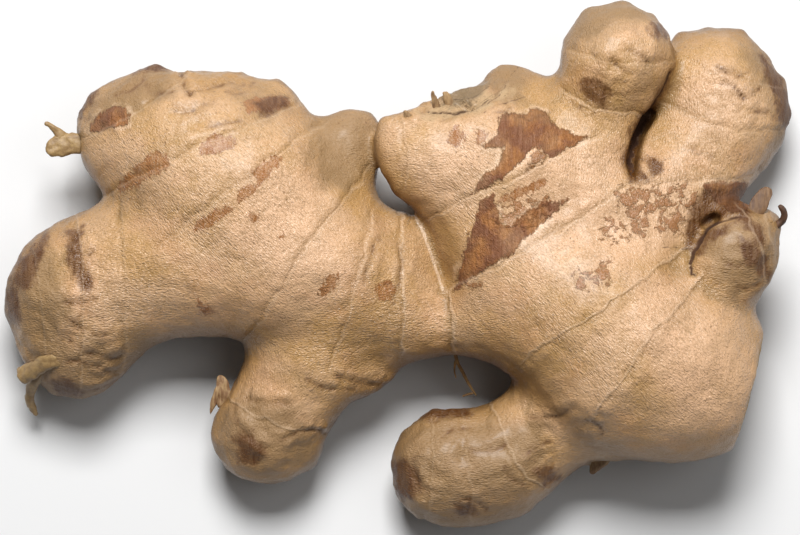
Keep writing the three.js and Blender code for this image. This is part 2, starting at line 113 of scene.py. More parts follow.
# Short folds of the drying skin: start, end, bow, depth.
FOLDS = [
    ((-66, 2.4), (-60.6, 3.6), 0.6, 0.5),
    ((-66.4, -6.4), (-59.6, -5.6), 0.7, 0.6),
    ((-66, -9.4), (-58.4, -13.4), 0.8, 0.45),
    ((-65.6, -14), (-56.4, -18), 0.9, 0.5),
    ((-66.4, -19), (-58, -20.6), -0.7, 0.5),
    ((-63.6, -25), (-57, -22.4), 0.4, 0.4),
    ((-64.6, 30), (-56, 25.4), -1.2, 0.35),
    ((-43.4, 38.9), (-41.2, 33.1), 0.5, 0.85),
    ((-41.6, 33.4), (-30.8, 36.6), -1.2, 0.75),
    ((-50.6, 36.2), (-44.6, 34), 0.8, 0.4),
    ((-44.4, 30.6), (-36.4, 33), 0.7, 0.5),
    ((-34.4, 35), (-28.6, 37), 0.6, 0.45),
    ((-56.4, 33.8), (-50.4, 37.4), 0.8, 0.35),
    ((-38, 27.6), (-31, 29), 0.4, 0.25),
    ((-31, -25.6), (-21.6, -27), 0.8, 0.45),
    ((-33.4, -27.4), (-26, -36), 1.6, 0.4),
    ((-24, -34.4), (-14.4, -33), -1, 0.5),
    ((-13, -21.4), (-2, -23.4), 0.8, 0.55),
    ((-18.6, -22), (-9.4, -24.4), 0.8, 0.35),
    ((-4, 6), (-7, -3), 0.5, 0.45),
    ((0.6, 4.4), (-2, -9), -0.8, 0.5),
    ((4, 30.8), (15, 30.4), -1.4, 0.9),
    ((14, 31), (21, 36.4), 0.6, 0.7),
    ((8, 29), (18, 31.4), -0.8, 0.5),
    ((20, 33), (24, 27.6), 0.4, 0.5),
    ((19, 30), (30, 30.6), 0.8, 0.35),
    ((30, 23.6), (24.6, 19), 0.6, 0.35),
    ((33.4, 33.6), (38.6, 30.4), 0.6, 0.3),
    ((41, 41), (46, 38), 1, 0.45),
    ((44, 42.6), (48.6, 40), -0.6, 0.35),
    ((38.6, 38), (44, 36), 0.8, 0.3),
    ((36.8, 34.6), (41.4, 31.6), 0.6, 0.45),
    ((63.4, 36.6), (68.6, 33.4), -1, 0.7),
    ((62.6, 39.4), (69.4, 38.6), 0.8, 0.55),
    ((66.4, 34.4), (72, 36), 0.8, 0.5),
    ((69, 31), (75, 30.2), -0.8, 0.4),
    ((56, 24), (62, 21.6), -0.8, 0.3),
    ((26, -30), (34.6, -27), 1.2, 0.45),
    ((24.8, -37), (30.4, -35), -0.6, 0.5),
    ((20.6, -39), (26, -43.6), 1.2, 0.5),
    ((14, -36), (21, -35), 0.8, 0.35),
    ((8, -33.6), (14, -31.4), -0.6, 0.4),
    ((2.6, -38), (7, -45.4), 1.4, 0.35),
    ((11, -46), (18, -49), -0.8, 0.4),
    ((40, -33), (36, -30.4), 0.8, 0.5),
    ((66, -3.6), (71.6, -2.6), 0.8, 0.4),
    ((63.4, 1), (68, 1.4), 0.8, 0.4),
]

# Outlines, seen from above, of the red-brown film that is left of the scale leaves.
FILM = [
    [(-61.8, 27.1), (-60.6, 29.5), (-58.8, 30.9), (-56.4, 31.7), (-53.8, 31.3), (-53.2, 29.9), (-53.6, 28.3),
     (-57, 27.7), (-60, 26.9)],
    [(19.4, 29.3), (22.2, 30.1), (25.4, 29.9), (25.8, 31.5), (29, 30.3), (30.6, 27.9), (34, 26.1),
     (36.8, 25.9), (32.6, 23.3), (29.8, 21.5), (27.6, 23.5), (26, 23.3), (23, 19.9), (20, 17.3),
     (15.6, 15.1), (14, 14.3), (16.4, 17.9), (19.4, 20.3), (20.4, 23.5), (16.8, 23.5), (16.4, 24.3),
     (19.2, 25.7)],
    [(10.2, -4.7), (11.4, -0.9), (13.2, 4.5), (14.6, 9.1), (16, 13.1), (18.4, 14.1), (19, 11.1), (19.4, 8.5),
     (22, 7.9), (25, 11.1), (28, 12.5), (33, 13.5), (31, 11.5), (28, 8.9), (25, 5.9), (22, 3.1), (18, 0.5),
     (14, -2.1)],
    [(59.6, 16.9), (69.4, 17.1), (69.6, 12.5), (67, 10.7), (64.8, 11.1), (62.4, 13.5), (60.6, 15.1)],
]
# Outlines of soft dark stains, and of painted shade in a crevice, around the side bud and along the upper
# right finger's side.
SHADES = [
    # the left finger
    [(-79, -4.5), (-77, -2.5), (-75.4, -7.5), (-77, -12), (-78.6, -11)],
    [(-66, 7.1), (-63, 8.5), (-63.4, 3.5), (-61.6, -1.5), (-60.6, -5.7), (-63, -4.5), (-64.4, -0.5),
     (-66, 3.5)],
    [(-77.6, -3.1), (-76.4, 1.1), (-72.4, 5.5), (-70.8, 7.1), (-70.4, 4.5), (-72, 1.1), (-73, -3.5),
     (-76, -3.9)],
    [(-70.4, -22.5), (-66, -22), (-64, -25.5), (-68, -26.5)],
    # the old left body
    [(-54, 41), (-47, 41.4), (-46, 39.2), (-53, 38.6)],
    [(-29, 32.5), (-24, 34.5), (-21.6, 32), (-27, 30.5)],
    [(-64.4, 34), (-60, 36), (-61.6, 32.6), (-64.6, 30)],
    # the lower left finger
    [(-32.8, -34.5), (-29.6, -32.9), (-26.8, -36.5), (-28.8, -39.5), (-32, -38.5)],
    # the lower right finger
    [(4, -27.6), (12, -27.7), (14.6, -29.3), (9, -30.1), (4, -30.1)],
    [(-2, -39.5), (1.4, -38.9), (3.6, -42.5), (2.6, -46.5), (-0.6, -46.5)],
    [(11, -47.5), (14, -46.5), (15.4, -48.9), (12, -49.9)],
    [(26.4, -40.5), (30.4, -40.1), (32, -42.5), (29, -43.7)],
    # the upper right finger, with painted shade along its right side
    [(72.6, 42.5), (76.8, 38.1), (80, 31.9), (79.6, 27), (77.4, 27.3), (75.2, 29.9), (75.4, 33.5),
     (73.2, 37.5)],
    [(48.6, 21.3), (51, 21.9), (51.6, 19.3), (49.4, 17.9)],
    # the top bud
    [(35.6, 36.5), (40, 37.1), (42, 33.9), (40, 31.5), (36.6, 33.1)],
    [(49.2, 48), (52, 48.9), (53, 45.9), (50, 45.1)],
    # the side bud, and painted shade in the dip above it
    [(66.8, 5.5), (69.8, 5.1), (72.4, 1.7), (73.4, -1.9), (70.8, -1.3), (68, 1.3)],
    [(66, 10.9), (68.8, 10.7), (71, 7.5), (72.4, 3.9), (70.8, 3.7), (69.2, 7.1)],
    [(60, 15.5), (69.6, 16), (69, 11.4), (63.6, 10.4), (59.4, 7.6), (57.6, 3.4), (56.6, 4.4), (57.2, 9.4)],
    [(59.6, 6.3), (62.4, 8.1), (65.6, 8.9), (64.4, 7.3), (61, 5.1), (59.6, 2.5), (58.6, 2.5)],
    # painted shade in the crevice between the top bud and the upper right finger
    [(53.6, 37.3), (49.8, 29.5), (47.8, 25.3), (47.6, 20.5), (49.4, 16.9), (45.6, 16.9), (44.2, 21.5),
     (46, 27.5), (50.4, 33.9)],
]
# Outlines of ochre stains.
STAIN = [
    [(-57, 15.1), (-53, 18.9), (-47.8, 22.5), (-46, 22.5), (-45.4, 19.9), (-49.4, 17.3), (-53.4, 15.1)],
    [(-39.4, 23.3), (-36.4, 26.1), (-32.8, 26.1), (-32, 24.1), (-35.6, 22.5), (-38, 22.1)],
    [(-28.8, 18.7), (-26.8, 20.9), (-23, 21.9), (-23.4, 20.1), (-26.6, 17.3), (-27.8, 16.1)],
    [(-31.8, 14.5), (-29.2, 16.5), (-27.6, 15.9), (-30, 13.7), (-31.4, 12.5)],
    [(-40.4, 6.9), (-40, 9.1), (-36.6, 10.9), (-33, 11.7), (-34, 9.9), (-37.4, 7.9)],
    [(-30.8, 32.5), (-27.6, 33.9), (-23.2, 33.9), (-22, 32.7), (-25.6, 31.1), (-29.6, 30.7)],
    [(-16, -3.5), (-14, -1.7), (-12, -1.3), (-12.4, -4.5), (-15, -6.1)],
    [(-5, -3.5), (-2.4, -2.9), (-0.4, -4.5), (-1.6, -6.9), (-4, -6.5)],
    [(9.6, 26.3), (11.6, 28.1), (12.8, 25.5), (11, 23.5), (8.8, 24.9)],
    [(15.4, 26.9), (17, 26.3), (16.6, 23.7), (15.2, 24.1)],
    [(-29, 10.3), (-27.6, 10.3), (-27.6, 9.1), (-29, 9.1)],
    [(-24.2, 6.5), (-22.6, 6.7), (-22.4, 5.7), (-23.8, 5.5)],
    [(-40, -6.5), (-37.6, -7.5), (-36.4, -8.9), (-38.8, -8.5)],
    [(17.6, 12.3), (24, 15.9), (29, 17.5), (28, 16.1), (22, 13.3)],
]

# Outlines of places with brown flecks of crust, and of duller, greyish ones, partly painted shade on the
# lower fingers and along the upper right finger's side.
CRUST = [
    [(40, 15.6), (44, 17.5), (52, 16.4), (58, 15.2), (58, 12), (53.6, 10.6), (51, 6.5), (46, 6.8),
     (41.6, 10)],
    [(32.4, -3.5), (34, 1.1), (40, 2.9), (42.8, 0), (42, -4), (37.2, -6.2), (33.4, -6)],
    [(17, 13.2), (26, 15.4), (32, 13.4), (31, 8), (25, 5.6), (20, 6)],
    [(24.6, 24), (30, 23.8), (29.6, 20), (25, 19)],
    [(-16.8, -0.9), (-13, -0.7), (-12.6, -6), (-16, -6.4)],
    [(-5.2, -1.5), (-1.8, -1.9), (-1.2, -5.6), (-4.4, -6)],
    [(40, 12), (58, 20), (60, 14), (56, 6), (46, 4), (36, 4)],
    [(-44, -6), (-36, -6.5), (-36.4, -10.4), (-43, -9.6)],
    [(9, -3), (20, -1), (18, -5), (10, -6)],
]
DULL_AND_SHADE = [
    [(60, 7), (65, 11), (71, 12), (75, 7), (75, -1), (70, -6), (64, -3), (60, 2)],
    [(16, 36), (19, 40), (23, 41), (26, 38), (24, 34), (19, 33)],
    [(-31.2, 34.3), (-22, 33.9), (-21.4, 31), (-30.6, 30.4)],
    [(63.6, -0.7), (69.2, -0.9), (69, -5.7), (64.6, -5.9)],
    [(60, 8), (64, 9.6), (65, 5), (61, 4)],
    [(-30, -27), (-22, -26), (-17, -31), (-18, -38), (-28, -42), (-37, -38), (-37, -30)],
    [(0, -32), (8, -30), (28, -30), (30, -42), (18, -52), (4, -51), (-1, -44)],
    [(-79, -2), (-70, 6), (-66, -2), (-66, -14), (-74, -14), (-79, -8)],
    [(-62, 32), (-54, 38), (-46, 40), (-46, 34), (-56, 28), (-63, 27)],
    [(-17, 31), (-6, 32), (-5, 20), (-10, 14), (-17, 18)],
    [(-74, -13), (-62, -15), (-52, -13), (-44, -17), (-52, -22), (-64, -28), (-74, -24)],
    [(33, 45), (35, 53), (44, 54), (50, 50), (44, 48), (38, 44)],
    [(70, 46), (74, 44), (80, 32), (79, 24), (76, 25), (74, 34), (69, 42)],
    [(63.4, 4.3), (66.8, 4.7), (67.4, 2.9), (64, 2.7)],
]
# Pale peach places, partly painted highlight where the light falls brightest.
PALE_AND_HIGHLIGHT = [
    [(44, 0), (56, -2), (64, -10), (66, -24), (54, -26), (46, -14)],
    [(46, 17), (54, 20), (60, 12), (52, 2), (36, -4), (30, 2), (38, 12)],
    [(-30, 20), (-16, 18), (-8, 8), (-12, -2), (-24, -2), (-34, 6)],
    [(50, -4), (58, -6), (70, -8), (72, -22), (68, -34), (54, -30), (46, -14)],
    [(2, 22), (14, 27), (18, 20), (12, 8), (4, 14)],
    [(24, 24), (36, 26), (44, 20), (40, 8), (32, -2), (20, 2)],
    [(54, 36), (64, 42), (70, 34), (64, 26), (56, 28)],
]
# Small corners of the skin where buds and scale leaves sat: x, y, z, reach, height.
CORNERS = [
    (-49, 40.6, 18, 2.6, 0.6), (-24, 37.8, 17.4, 2.2, 0.5), (-62.4, 34.6, 17.6, 2, 0.4),
    (-64.4, 30.4, 17.6, 1.8, 0.5), (-69.4, -25.2, 12, 2.2, 0.5), (-78, -4, 14.4, 2, 0.35),
    (-71.6, 8.8, 14.4, 2, 0.4), (7, -30, 12, 2.2, 0.6), (1.6, -34, 12, 2, 0.4), (0.4, -46, 11.6, 2, 0.4),
    (-18.2, -39.4, 11.4, 2, 0.6), (44.4, 52.8, 21.4, 2.2, 0.5), (50.8, 50.4, 21.4, 1.8, 0.5),
    (37.6, 50.6, 21.4, 1.8, 0.5), (53.8, 46.8, 21.4, 1.8, 0.5), (56.6, 46.4, 12.5, 2, 0.5),
    (62, 48, 12.5, 1.8, 0.35), (69, 47.6, 12.5, 1.8, 0.5), (73.6, 42.4, 12.5, 2, 0.4),
    (77, 37.6, 12.5, 1.8, 0.5), (79, 31.4, 12.5, 2, 0.4), (73.8, 9.6, 22.4, 4.4, 1.5),
    (-3.8, 29.4, 23.6, 2, 0.4), (-6, 30.8, 16, 2, 0.4), (21.4, 41.2, 18, 2.2, 0.4),
]
# The sunken, greyish middle of the dried stem base, where shade is painted, and the cracks and crevices,
# painted near black as shade inside them: a route and its half width.
RECESS = [[(7.2, 33.1), (9.2, 35.3), (14, 36.9), (17.6, 37.3), (16.4, 34.1), (13.6, 32.1), (10, 31.7)]]
CRACKS = [
    ([(5.4, 31.3), (7.4, 30.7), (10.4, 30.5), (13, 31), (14.4, 31.7)], 0.08),
    ([(11.6, 30.1), (14.4, 30.5), (16, 32.1), (18.2, 33.3)], 0.05),
    ([(8.6, 34.1), (11, 33.1), (14.4, 33.5), (17.6, 36.1)], 0.02),
    ([(17, 31.5), (20, 34.1), (22, 38.3), (24, 40.5)], 0.0),
    ([(16.4, 30.1), (21, 32.5), (25, 33.9)], 0.0),
    ([(68, 10.5), (66.6, 10.3), (64.6, 9.7), (62.6, 9.1), (61, 8.1), (59.6, 6.7)], 0.12),
    ([(59.6, 6.7), (58.8, 5.1), (58, 3.5), (57.4, 1.9), (57.2, 0.1), (58, -1.1)], 0.2),
    ([(52, 4.1), (54.4, 3.9), (57.4, 3.9)], 0.0),
    ([(53.8, 38.5), (51.6, 33.5), (49, 29.3)], 0.12),
    ([(49, 29.3), (47.4, 26.5), (46.2, 23.5), (45.8, 20.5)], 0.26),
    ([(45.8, 20.5), (46, 18.9), (46.8, 17.5)], 0.12),
]
# The pale torn line in the cleft between the neck and the leaning body.
SPLIT = [(2.8, 10.8), (4.4, 7.6), (6, 3), (7.4, -1), (8.4, -4.2)]

# The cut end and the dried stem base, as in the solid.
CUT_THROUGH, CUT_FACING = np.array([72.2, -15.5, 18]), np.array([0.969, -0.248, 0.04])
STEM_CENTRE, STEM_ALONG = np.array([13, 32, 25]), np.array([0.934, 0.342, -0.1])
STEM_ACROSS, STEM_HALF_LENGTH, STEM_HALF_WIDTH = np.array([0.202, -0.555, 0.807]), 8.4, 4.4
STEM_REACH = 13

# The shrivelled tips, seen from above: a middle and a reach.
TIPS = [((-69, -10), 13), ((-27, -34), 12), ((8, -41), 13), ((24, -37), 8), ((44, 42), 9), ((66, 36), 9),
        ((14, 33), 9), ((68, 2), 8), ((-44, 34), 10), ((-60, -18), 9)]

# Directions in plan, in degrees, that the crinkles are mixed from, and how far a ring scar sways them.
FLOW_TURNS = (0, 45, 90, 135)
SCAR_REACH = 7.0
# A line across a finger runs on past its ends and fades there, as shares of its length.
LINE_OVERRUN, LINE_FADE = 0.06, 0.1
# What a point stores where no ring scar, no crack or slit, and no outline is near it.
RING_REACH, FAR, OUTSIDE = 2.4, 9.0, -5.0
# Film, stains and the like lie where the skin faces up more than this, as the z of its direction.
FACES_UP = -0.1
# How often the skin is evened out to find its hollows and its pits, which are painted darker as shade.
HOLLOW_ROUNDS, PIT_ROUNDS = 40, 5
# The relief starts this far above the floor, and stays this far inside the solid's box.
FLAT_BELOW, BOX_MARGIN = 0.3, 0.02
# In metres, how near the solid's points are when they are merged.
MERGE_WITHIN = 2e-6
SHOOT_SIDES = 10
# A Mix node's share and two colours among its inputs.
MIX_COLOUR_SOCKETS = (0, 6, 7)

# The studio, in metres. A light is its place, its size and its share of the key light's power.
LIGHTS = {
    "key light": ((-0.02, 0.5, 0.74), 0.34, 1.0),
    "fill light": ((0.5, 0.1, 0.9), 0.6, 0.12),
}
LIT_POINT = (0, 0, 0.015)
SKY_STRENGTH = 0.075
FLOOR_SIZE = 4
CAMERA_HEIGHT = 0.684
CAMERA_LENS, CAMERA_SENSOR = 150, 36

# What is left of roots and scale leaves. Each is a broad direction and stations (x, y, z, half width,
# half thickness), as in the solid, with a few more stations for the fine shape.
FLESHY_ROOTS = {
    "stub_root": ((0, 1, 0), [
        (-64, -16.4, 19.6, 0.8, 0.6), (-66.6, -17.2, 20.8, 2.3, 1.2), (-69, -17.8, 21.4, 2.5, 1.4),
        (-71.2, -18.8, 19.8, 2.1, 1.3), (-73.4, -20.4, 17.6, 2, 1.2), (-75.4, -21.5, 15.8, 2.1, 1.1),
        (-76.8, -22, 14.8, 1.6, 0.8)]),
    "branch_root": ((0, 0, 1), [
        (-70.4, -19.6, 18, 1.5, 1.4), (-72.6, -22, 15.4, 1.6, 1.4), (-74.6, -24.2, 12.6, 1.3, 1.2),
        (-75.2, -26.8, 9.8, 1.1, 1), (-74.6, -29, 8, 0.9, 0.8), (-73.8, -30.2, 7, 0.5, 0.5)]),
    "root_collar": ((0, 1, 0), [
        (-69.6, -15.6, 20.2, 0.8, 0.5), (-71, -14.8, 20.2, 1.5, 0.7), (-72.4, -15.2, 19.6, 1.3, 0.6),
        (-73, -16.4, 19, 0.6, 0.4)]),
    "curled_root": ((0, 1, 0), [
        (-60, 24.6, 18.6, 2, 1), (-64.6, 24.8, 18.8, 2.1, 1), (-66.4, 24.8, 18.8, 2.5, 0.9),
        (-68.4, 24.2, 19, 2.5, 0.8), (-69.6, 23.6, 19.2, 1.8, 0.7), (-70.6, 22.8, 19.4, 0.9, 0.5)]),
    "curled_root_tip": ((0, 1, 0), [
        (-67, 25.4, 18.8, 1.5, 0.8), (-68.2, 27, 19, 1, 0.6), (-69.6, 28.2, 19.4, 0.6, 0.5),
        (-71, 28.9, 19.6, 0.5, 0.45)]),
}
PAPERY_SCALES = {
    "finger_scale": ((1, 0, 0), [
        (-36.4, -21.6, 14.6, 0.6, 0.3), (-35.6, -23.6, 14.8, 1.5, 0.35), (-35.6, -25.4, 14.6, 1.9, 0.35),
        (-35.4, -27.4, 14.2, 1.6, 0.35), (-35, -29.4, 13.6, 0.9, 0.3)]),
    "finger_spike": ((1, 0.4, 0), [
        (-36, -22.8, 15, 0.5, 0.3), (-36.8, -25.2, 14.8, 0.8, 0.3), (-37.8, -27.6, 14.4, 0.6, 0.3),
        (-38.2, -29.8, 14, 0.25, 0.2)]),
    "body_spur": ((1, 0, 0), [
        (44, -32, 17, 2.8, 0.7), (42.4, -35.4, 16, 2.8, 0.6), (40.6, -38.4, 15, 2.1, 0.5),
        (39.2, -40.4, 14, 1.2, 0.4), (38.3, -41.6, 13.4, 0.4, 0.3)]),
}
BUD_FLAP = {
    "bud_flap": ((1, 0, 0), [
        (69.4, 9, 26, 1.6, 0.4), (70.4, 11.4, 26.2, 2, 0.35), (71.6, 13.6, 25.8, 1.8, 0.3),
        (72.8, 15.2, 25.4, 1.3, 0.25), (73.2, 15.8, 25.2, 0.7, 0.2)]),
}
DARK_CURLS = {
    "bud_hook": ((0, 0, 1), [
        (72, 6.6, 24.6, 1.1, 0.9), (74, 8, 25, 1, 0.9), (75.6, 9, 25.3, 0.9, 0.85),
        (76.2, 10.2, 25.8, 0.85, 0.8), (75.7, 11.7, 26.3, 0.7, 0.65), (74.8, 12.3, 26.6, 0.5, 0.5)]),
    "crevice_crumb": ((0, 0, 1), [
        (57.6, 3.6, 25.2, 0.4, 0.3), (57.9, 4.6, 25.8, 0.6, 0.5), (58.5, 5.4, 25.6, 0.4, 0.3)]),
}
DRIED_FIBRES = {
    "stem_spike": ((1, 0, 0), [
        (8.4, 26, 22, 0.9, 0.6), (7.6, 31, 24, 0.9, 0.5), (6.8, 33.4, 25, 0.6, 0.4),
        (6.4, 35, 25.6, 0.35, 0.3)]),
    "stem_shred": ((1, 0.3, 0), [
        (11, 27, 21, 1.2, 0.6), (10.2, 32, 23.2, 1.2, 0.6), (9.2, 34, 23.8, 0.9, 0.5),
        (8.8, 35, 24.2, 0.6, 0.4)]),
    "stem_stub": ((1, 0, 0), [
        (3.4, 23, 25, 1.2, 0.7), (2.4, 28, 25.8, 1, 0.6), (1.6, 30, 26.2, 0.8, 0.5),
        (0.8, 31, 26.6, 0.4, 0.3)]),
}
ROOTLET = {
    "rootlet": ((0, 0, 1), [
        (10.6, -13, 15, 0.6, 0.6), (11, -16.6, 13.6, 0.45, 0.45), (11.4, -19, 12.6, 0.36, 0.36),
        (12.4, -20.6, 11.8, 0.34, 0.34), (13, -21.8, 11, 0.36, 0.36), (14, -23.8, 10, 0.3, 0.3),
        (15.6, -26.2, 9, 0.22, 0.22)]),
    "rootlet_branch": ((0, 0, 1), [
        (15, -25.4, 9.4, 0.3, 0.3), (13.6, -25.8, 8.6, 0.25, 0.25), (12.6, -26.2, 8, 0.2, 0.2)]),
    "rootlet_hair": ((0, 0, 1), [
        (11.3, -18.4, 12.8, 0.3, 0.3), (10.8, -20.6, 11.6, 0.2, 0.2), (11.4, -22.6, 10.4, 0.16, 0.16)]),
}
REMNANTS = {**FLESHY_ROOTS, **PAPERY_SCALES, **BUD_FLAP, **DARK_CURLS, **DRIED_FIBRES, **ROOTLET}


class GingerSettings(bpy.types.PropertyGroup):
    """The sizes and colours of the rhizome, and its studio's light and floor"""
    skin_step: FloatProperty(
        name="Skin step", description="Size of the skin's faces", default=0.00069, min=0.0004,
        unit="LENGTH", precision=5)
    skin_evening: IntProperty(
        name="Evening", description="How often the skin is evened out before its detail", default=9, min=0)
    rim: FloatProperty(
        name="Ring rim", description="Height of the fine rim of a ring scar", default=0.00016,
        unit="LENGTH", precision=5)
    lumps: FloatProperty(
        name="Lumps", description="Height of the small lumps of the skin", default=0.0003,
        unit="LENGTH", precision=5)
    ripple: FloatProperty(
        name="Ripples", description="Depth of the skin's fine ripples", default=0.00034,
        unit="LENGTH", precision=5)
    skin: FloatVectorProperty(
        name="Skin", description="Colour of the tan skin", subtype="COLOR", size=3,
        default=(0.52, 0.3, 0.118))
    # Blush is also the colour of the painted light on humps.
    blush: FloatVectorProperty(
        name="Blush", description="Colour of its peach patches", subtype="COLOR", size=3,
        default=(0.69, 0.435, 0.255))
    # Olive is also the colour of the painted shade in hollows and beyond the ring scars.
    shade: FloatVectorProperty(
        name="Olive", description="Colour of its olive-brown patches", subtype="COLOR", size=3,
        default=(0.27, 0.155, 0.052))
    film: FloatVectorProperty(
        name="Film", description="Colour of the scale leaves' red-brown film", subtype="COLOR", size=3,
        default=(0.2, 0.066, 0.02))
    stain: FloatVectorProperty(
        name="Stain", description="Colour of the ochre stains", subtype="COLOR", size=3,
        default=(0.33, 0.13, 0.034))
    root: FloatVectorProperty(
        name="Roots", description="Colour of the stub roots", subtype="COLOR", size=3,
        default=(0.4, 0.26, 0.11))
    floor: FloatVectorProperty(
        name="Floor", description="Colour of the floor", subtype="COLOR", size=3,
        default=(0.78, 0.78, 0.78))
    key: FloatProperty(
        name="Key light", description="Power of the soft key light", default=10.9, unit="POWER")


# Plan and relief

def plan_of(mesh):
    """The mesh's points, in millimetres in the rhizome's own plan."""
    points = np.empty(len(mesh.vertices) * 3)
    mesh.vertices.foreach_get("co", points)
    return points.reshape(-1, 3) / MM + PLAN_MIDDLE


def move_points(mesh, points):
    """Moves the mesh's points to places in the rhizome's own plan."""
    mesh.vertices.foreach_set("co", ((points - PLAN_MIDDLE) * MM).astype(np.float32).ravel())


def normals_of(mesh):
    """The way that the mesh faces at each point."""
    normals = np.empty(len(mesh.vertices) * 3)
    mesh.vertex_normals.foreach_get("vector", normals)
    return normals.reshape(-1, 3)


def unit(values):
    """The values, held between 0 and 1."""
    return np.clip(values, 0, 1)


def bell(distance, width):
    """1 at no distance, falling smoothly to nearly 0 at twice the width."""
    return np.exp(-((distance / width) ** 2))


def place_on(line, points, waver):
    """How far each point is ahead of a line across a finger, and how much of the line is there."""
    start, end, bow = np.array(line[0]), np.array(line[1]), line[2]
    width = np.linalg.norm(end - start)
    along = (end - start) / width
    across = np.array([along[1], -along[0]])
    flat = points[:, :2] - start
    run = flat @ along / width
    ahead = flat @ across - bow * 4 * run * (1 - run) + waver
    fade = unit((run + LINE_OVERRUN) / LINE_FADE) * unit((1 + LINE_OVERRUN - run) / LINE_FADE)
    return ahead, fade


def waves(points, size, seed):
    """Soft noise from -1 to 1 with features of about that many millimetres."""
    shift = Vector((seed * 17.3, seed * 5.1, seed * 9.7))
    return np.array([noise.noise(Vector(point) / size + shift) for point in points])


def to_stretch(points, start, end):
    """Each point's distance in millimetres, seen from above, to a straight stretch."""
    edge, to = end - start, points[:, :2] - start
    share = unit(to @ edge / (edge @ edge))
    return np.linalg.norm(to - share[:, None] * edge, axis=1)


def inside_outline(outline, points):
    """Signed distance in millimetres to an outline seen from above, positive inside."""
    corners = np.array(outline)
    nearest = np.full(len(points), np.inf)
    inside = np.zeros(len(points), bool)
    for a, b in zip(corners, np.roll(corners, -1, axis=0)):
        nearest = np.minimum(nearest, to_stretch(points, a, b))
        edge, to = b - a, points[:, :2] - a
        crosses = (a[1] > points[:, 1]) != (b[1] > points[:, 1])
        with np.errstate(divide="ignore", invalid="ignore"):
            inside ^= crosses & (to[:, 0] < edge[0] * to[:, 1] / edge[1])
    return np.where(inside, nearest, -nearest)


def beside_route(route, points):
    """Distance in millimetres, seen from above, to a route of straight stretches."""
    route = np.array(route)
    return np.min([to_stretch(points, a, b) for a, b in zip(route[:-1], route[1:])], axis=0)


def evened(mesh, points, rounds):
    """The points after moving that many times halfway to the middle of their neighbours."""
    ends = np.empty(len(mesh.edges) * 2, np.int64)
    mesh.edges.foreach_get("vertices", ends)
    a, b = ends[0::2], ends[1::2]
    many = np.bincount(a, minlength=len(points)) + np.bincount(b, minlength=len(points))
    for _ in range(rounds):
        sums = np.stack([
            np.bincount(a, points[b, axis], len(points)) + np.bincount(b, points[a, axis], len(points))
            for axis in range(3)], axis=1)
        points = 0.5 * points + 0.5 * sums / many[:, None]
    return points


def growth_weights(points):
    """How much the skin grows along each of FLOW_TURNS, from the ring scars near a point."""
    double = np.zeros((len(points), 2))
    for start, end, _, _ in SCARS:
        start, end = np.array(start), np.array(end)
        along = (end - start) / np.linalg.norm(end - start)
        across = math.atan2(-along[0], along[1])
        reach = np.linalg.norm(points[:, :2] - (start + end) / 2, axis=1)
        weight = np.exp(-reach / SCAR_REACH)
        double += weight[:, None] * (math.cos(2 * across), math.sin(2 * across))
    facing = np.arctan2(double[:, 1], double[:, 0])
    weights = np.stack([np.maximum(0, np.cos(facing - 2 * math.radians(turn))) ** 2
                        for turn in FLOW_TURNS], axis=1)
    return weights / weights.sum(axis=1, keepdims=True)


def give(mesh, name, values):
    """Stores a number at each point, for the material to read."""
    mesh.attributes.new(name, "FLOAT", "POINT").data.foreach_set("value", np.asarray(values, np.float32))


def ring_relief(points, waver, medium, rim):
    """The ring scars' height, how far each point is ahead of the nearest, and how much of it is there."""
    height, there = np.zeros(len(points)), np.zeros(len(points))
    nearest = np.full(len(points), RING_REACH)
    for line in SCARS:
        ahead, fade = place_on(line, points, waver)
        strength = line[3] * fade * np.clip(0.7 + 1.1 * medium, 0, 1.4)
        swell = np.where(ahead < 0, np.exp(ahead / 3.4), bell(ahead, 1.1))
        height -= (0.55 - 0.35 * line[3]) * fade * swell
        height += 0.6 * rim * strength * (bell(ahead + 0.45, 0.5) - bell(ahead - 0.35, 0.45))
        closer = (np.abs(ahead) < np.abs(nearest)) & (fade > 0)
        nearest = np.where(closer, ahead, nearest)
        there = np.where(closer, fade * line[3], there)
    there *= unit((RING_REACH - 0.1 - np.abs(nearest)) / 0.8)
    return height, nearest, there


def fold_relief(points, upper, waver, small):
    """The short folds' height, and how deep in a fold each point is, for painted shade in the creases."""
    height, crease = np.zeros(len(points)), np.zeros(len(points))
    for line in FOLDS:
        ahead, fade = place_on(line, points, 0.8 * waver)
        there = fade * upper * np.clip(0.8 + 1.4 * small, 0.3, 1.3)
        height -= 0.6 * there * line[3] * bell(ahead, 0.4)
        height += 0.5 * there * line[3] * (bell(ahead + 1.3, 1.0) + 0.3 * bell(ahead - 1.3, 0.9))
        crease = np.maximum(crease, there * (0.75 * bell(ahead, 0.24) + 0.3 * bell(ahead, 1.0)))
    return height, crease


def crack_relief(points, upper, wander):
    """The cracks' height, and each point's distance to the nearest crack."""
    height, cracked = np.zeros(len(points)), np.full(len(points), FAR)
    for route, half in CRACKS:
        beside = beside_route(route, points + wander[:, None])
        cracked = np.minimum(cracked, np.where(upper, beside - half, FAR))
        height -= (0.1 + 2.2 * half) * bell(beside, half + 0.4) * upper
    return height, cracked


def tip_relief(points):
    """The height of the ridges, puckers and dents of the shrivelled tips."""
    shrivelled = np.max([unit(1.25 - np.linalg.norm(points[:, :2] - middle, axis=1) / reach)
                         for middle, reach in TIPS], axis=0)
    squeezed = points * (1, 1, 1.4)
    ridges = 1 - 2.4 * np.abs(waves(squeezed, 4.2, 4))
    puckers = 1 - 2.4 * np.abs(waves(squeezed, 1.9, 5))
    dents = np.clip(2.5 * waves(squeezed, 6.5, 8), -1, 1)
    return shrivelled * (0.32 * ridges + 0.1 * puckers + 0.35 * dents)


def corner_relief(points):
    """The height of the small corners."""
    height = np.zeros(len(points))
    for x, y, z, reach, rise_by in CORNERS:
        away = np.linalg.norm((points - (x, y, z)) * (1, 1, 0.7), axis=1)
        height += rise_by * unit(1 - away / reach)
    return height


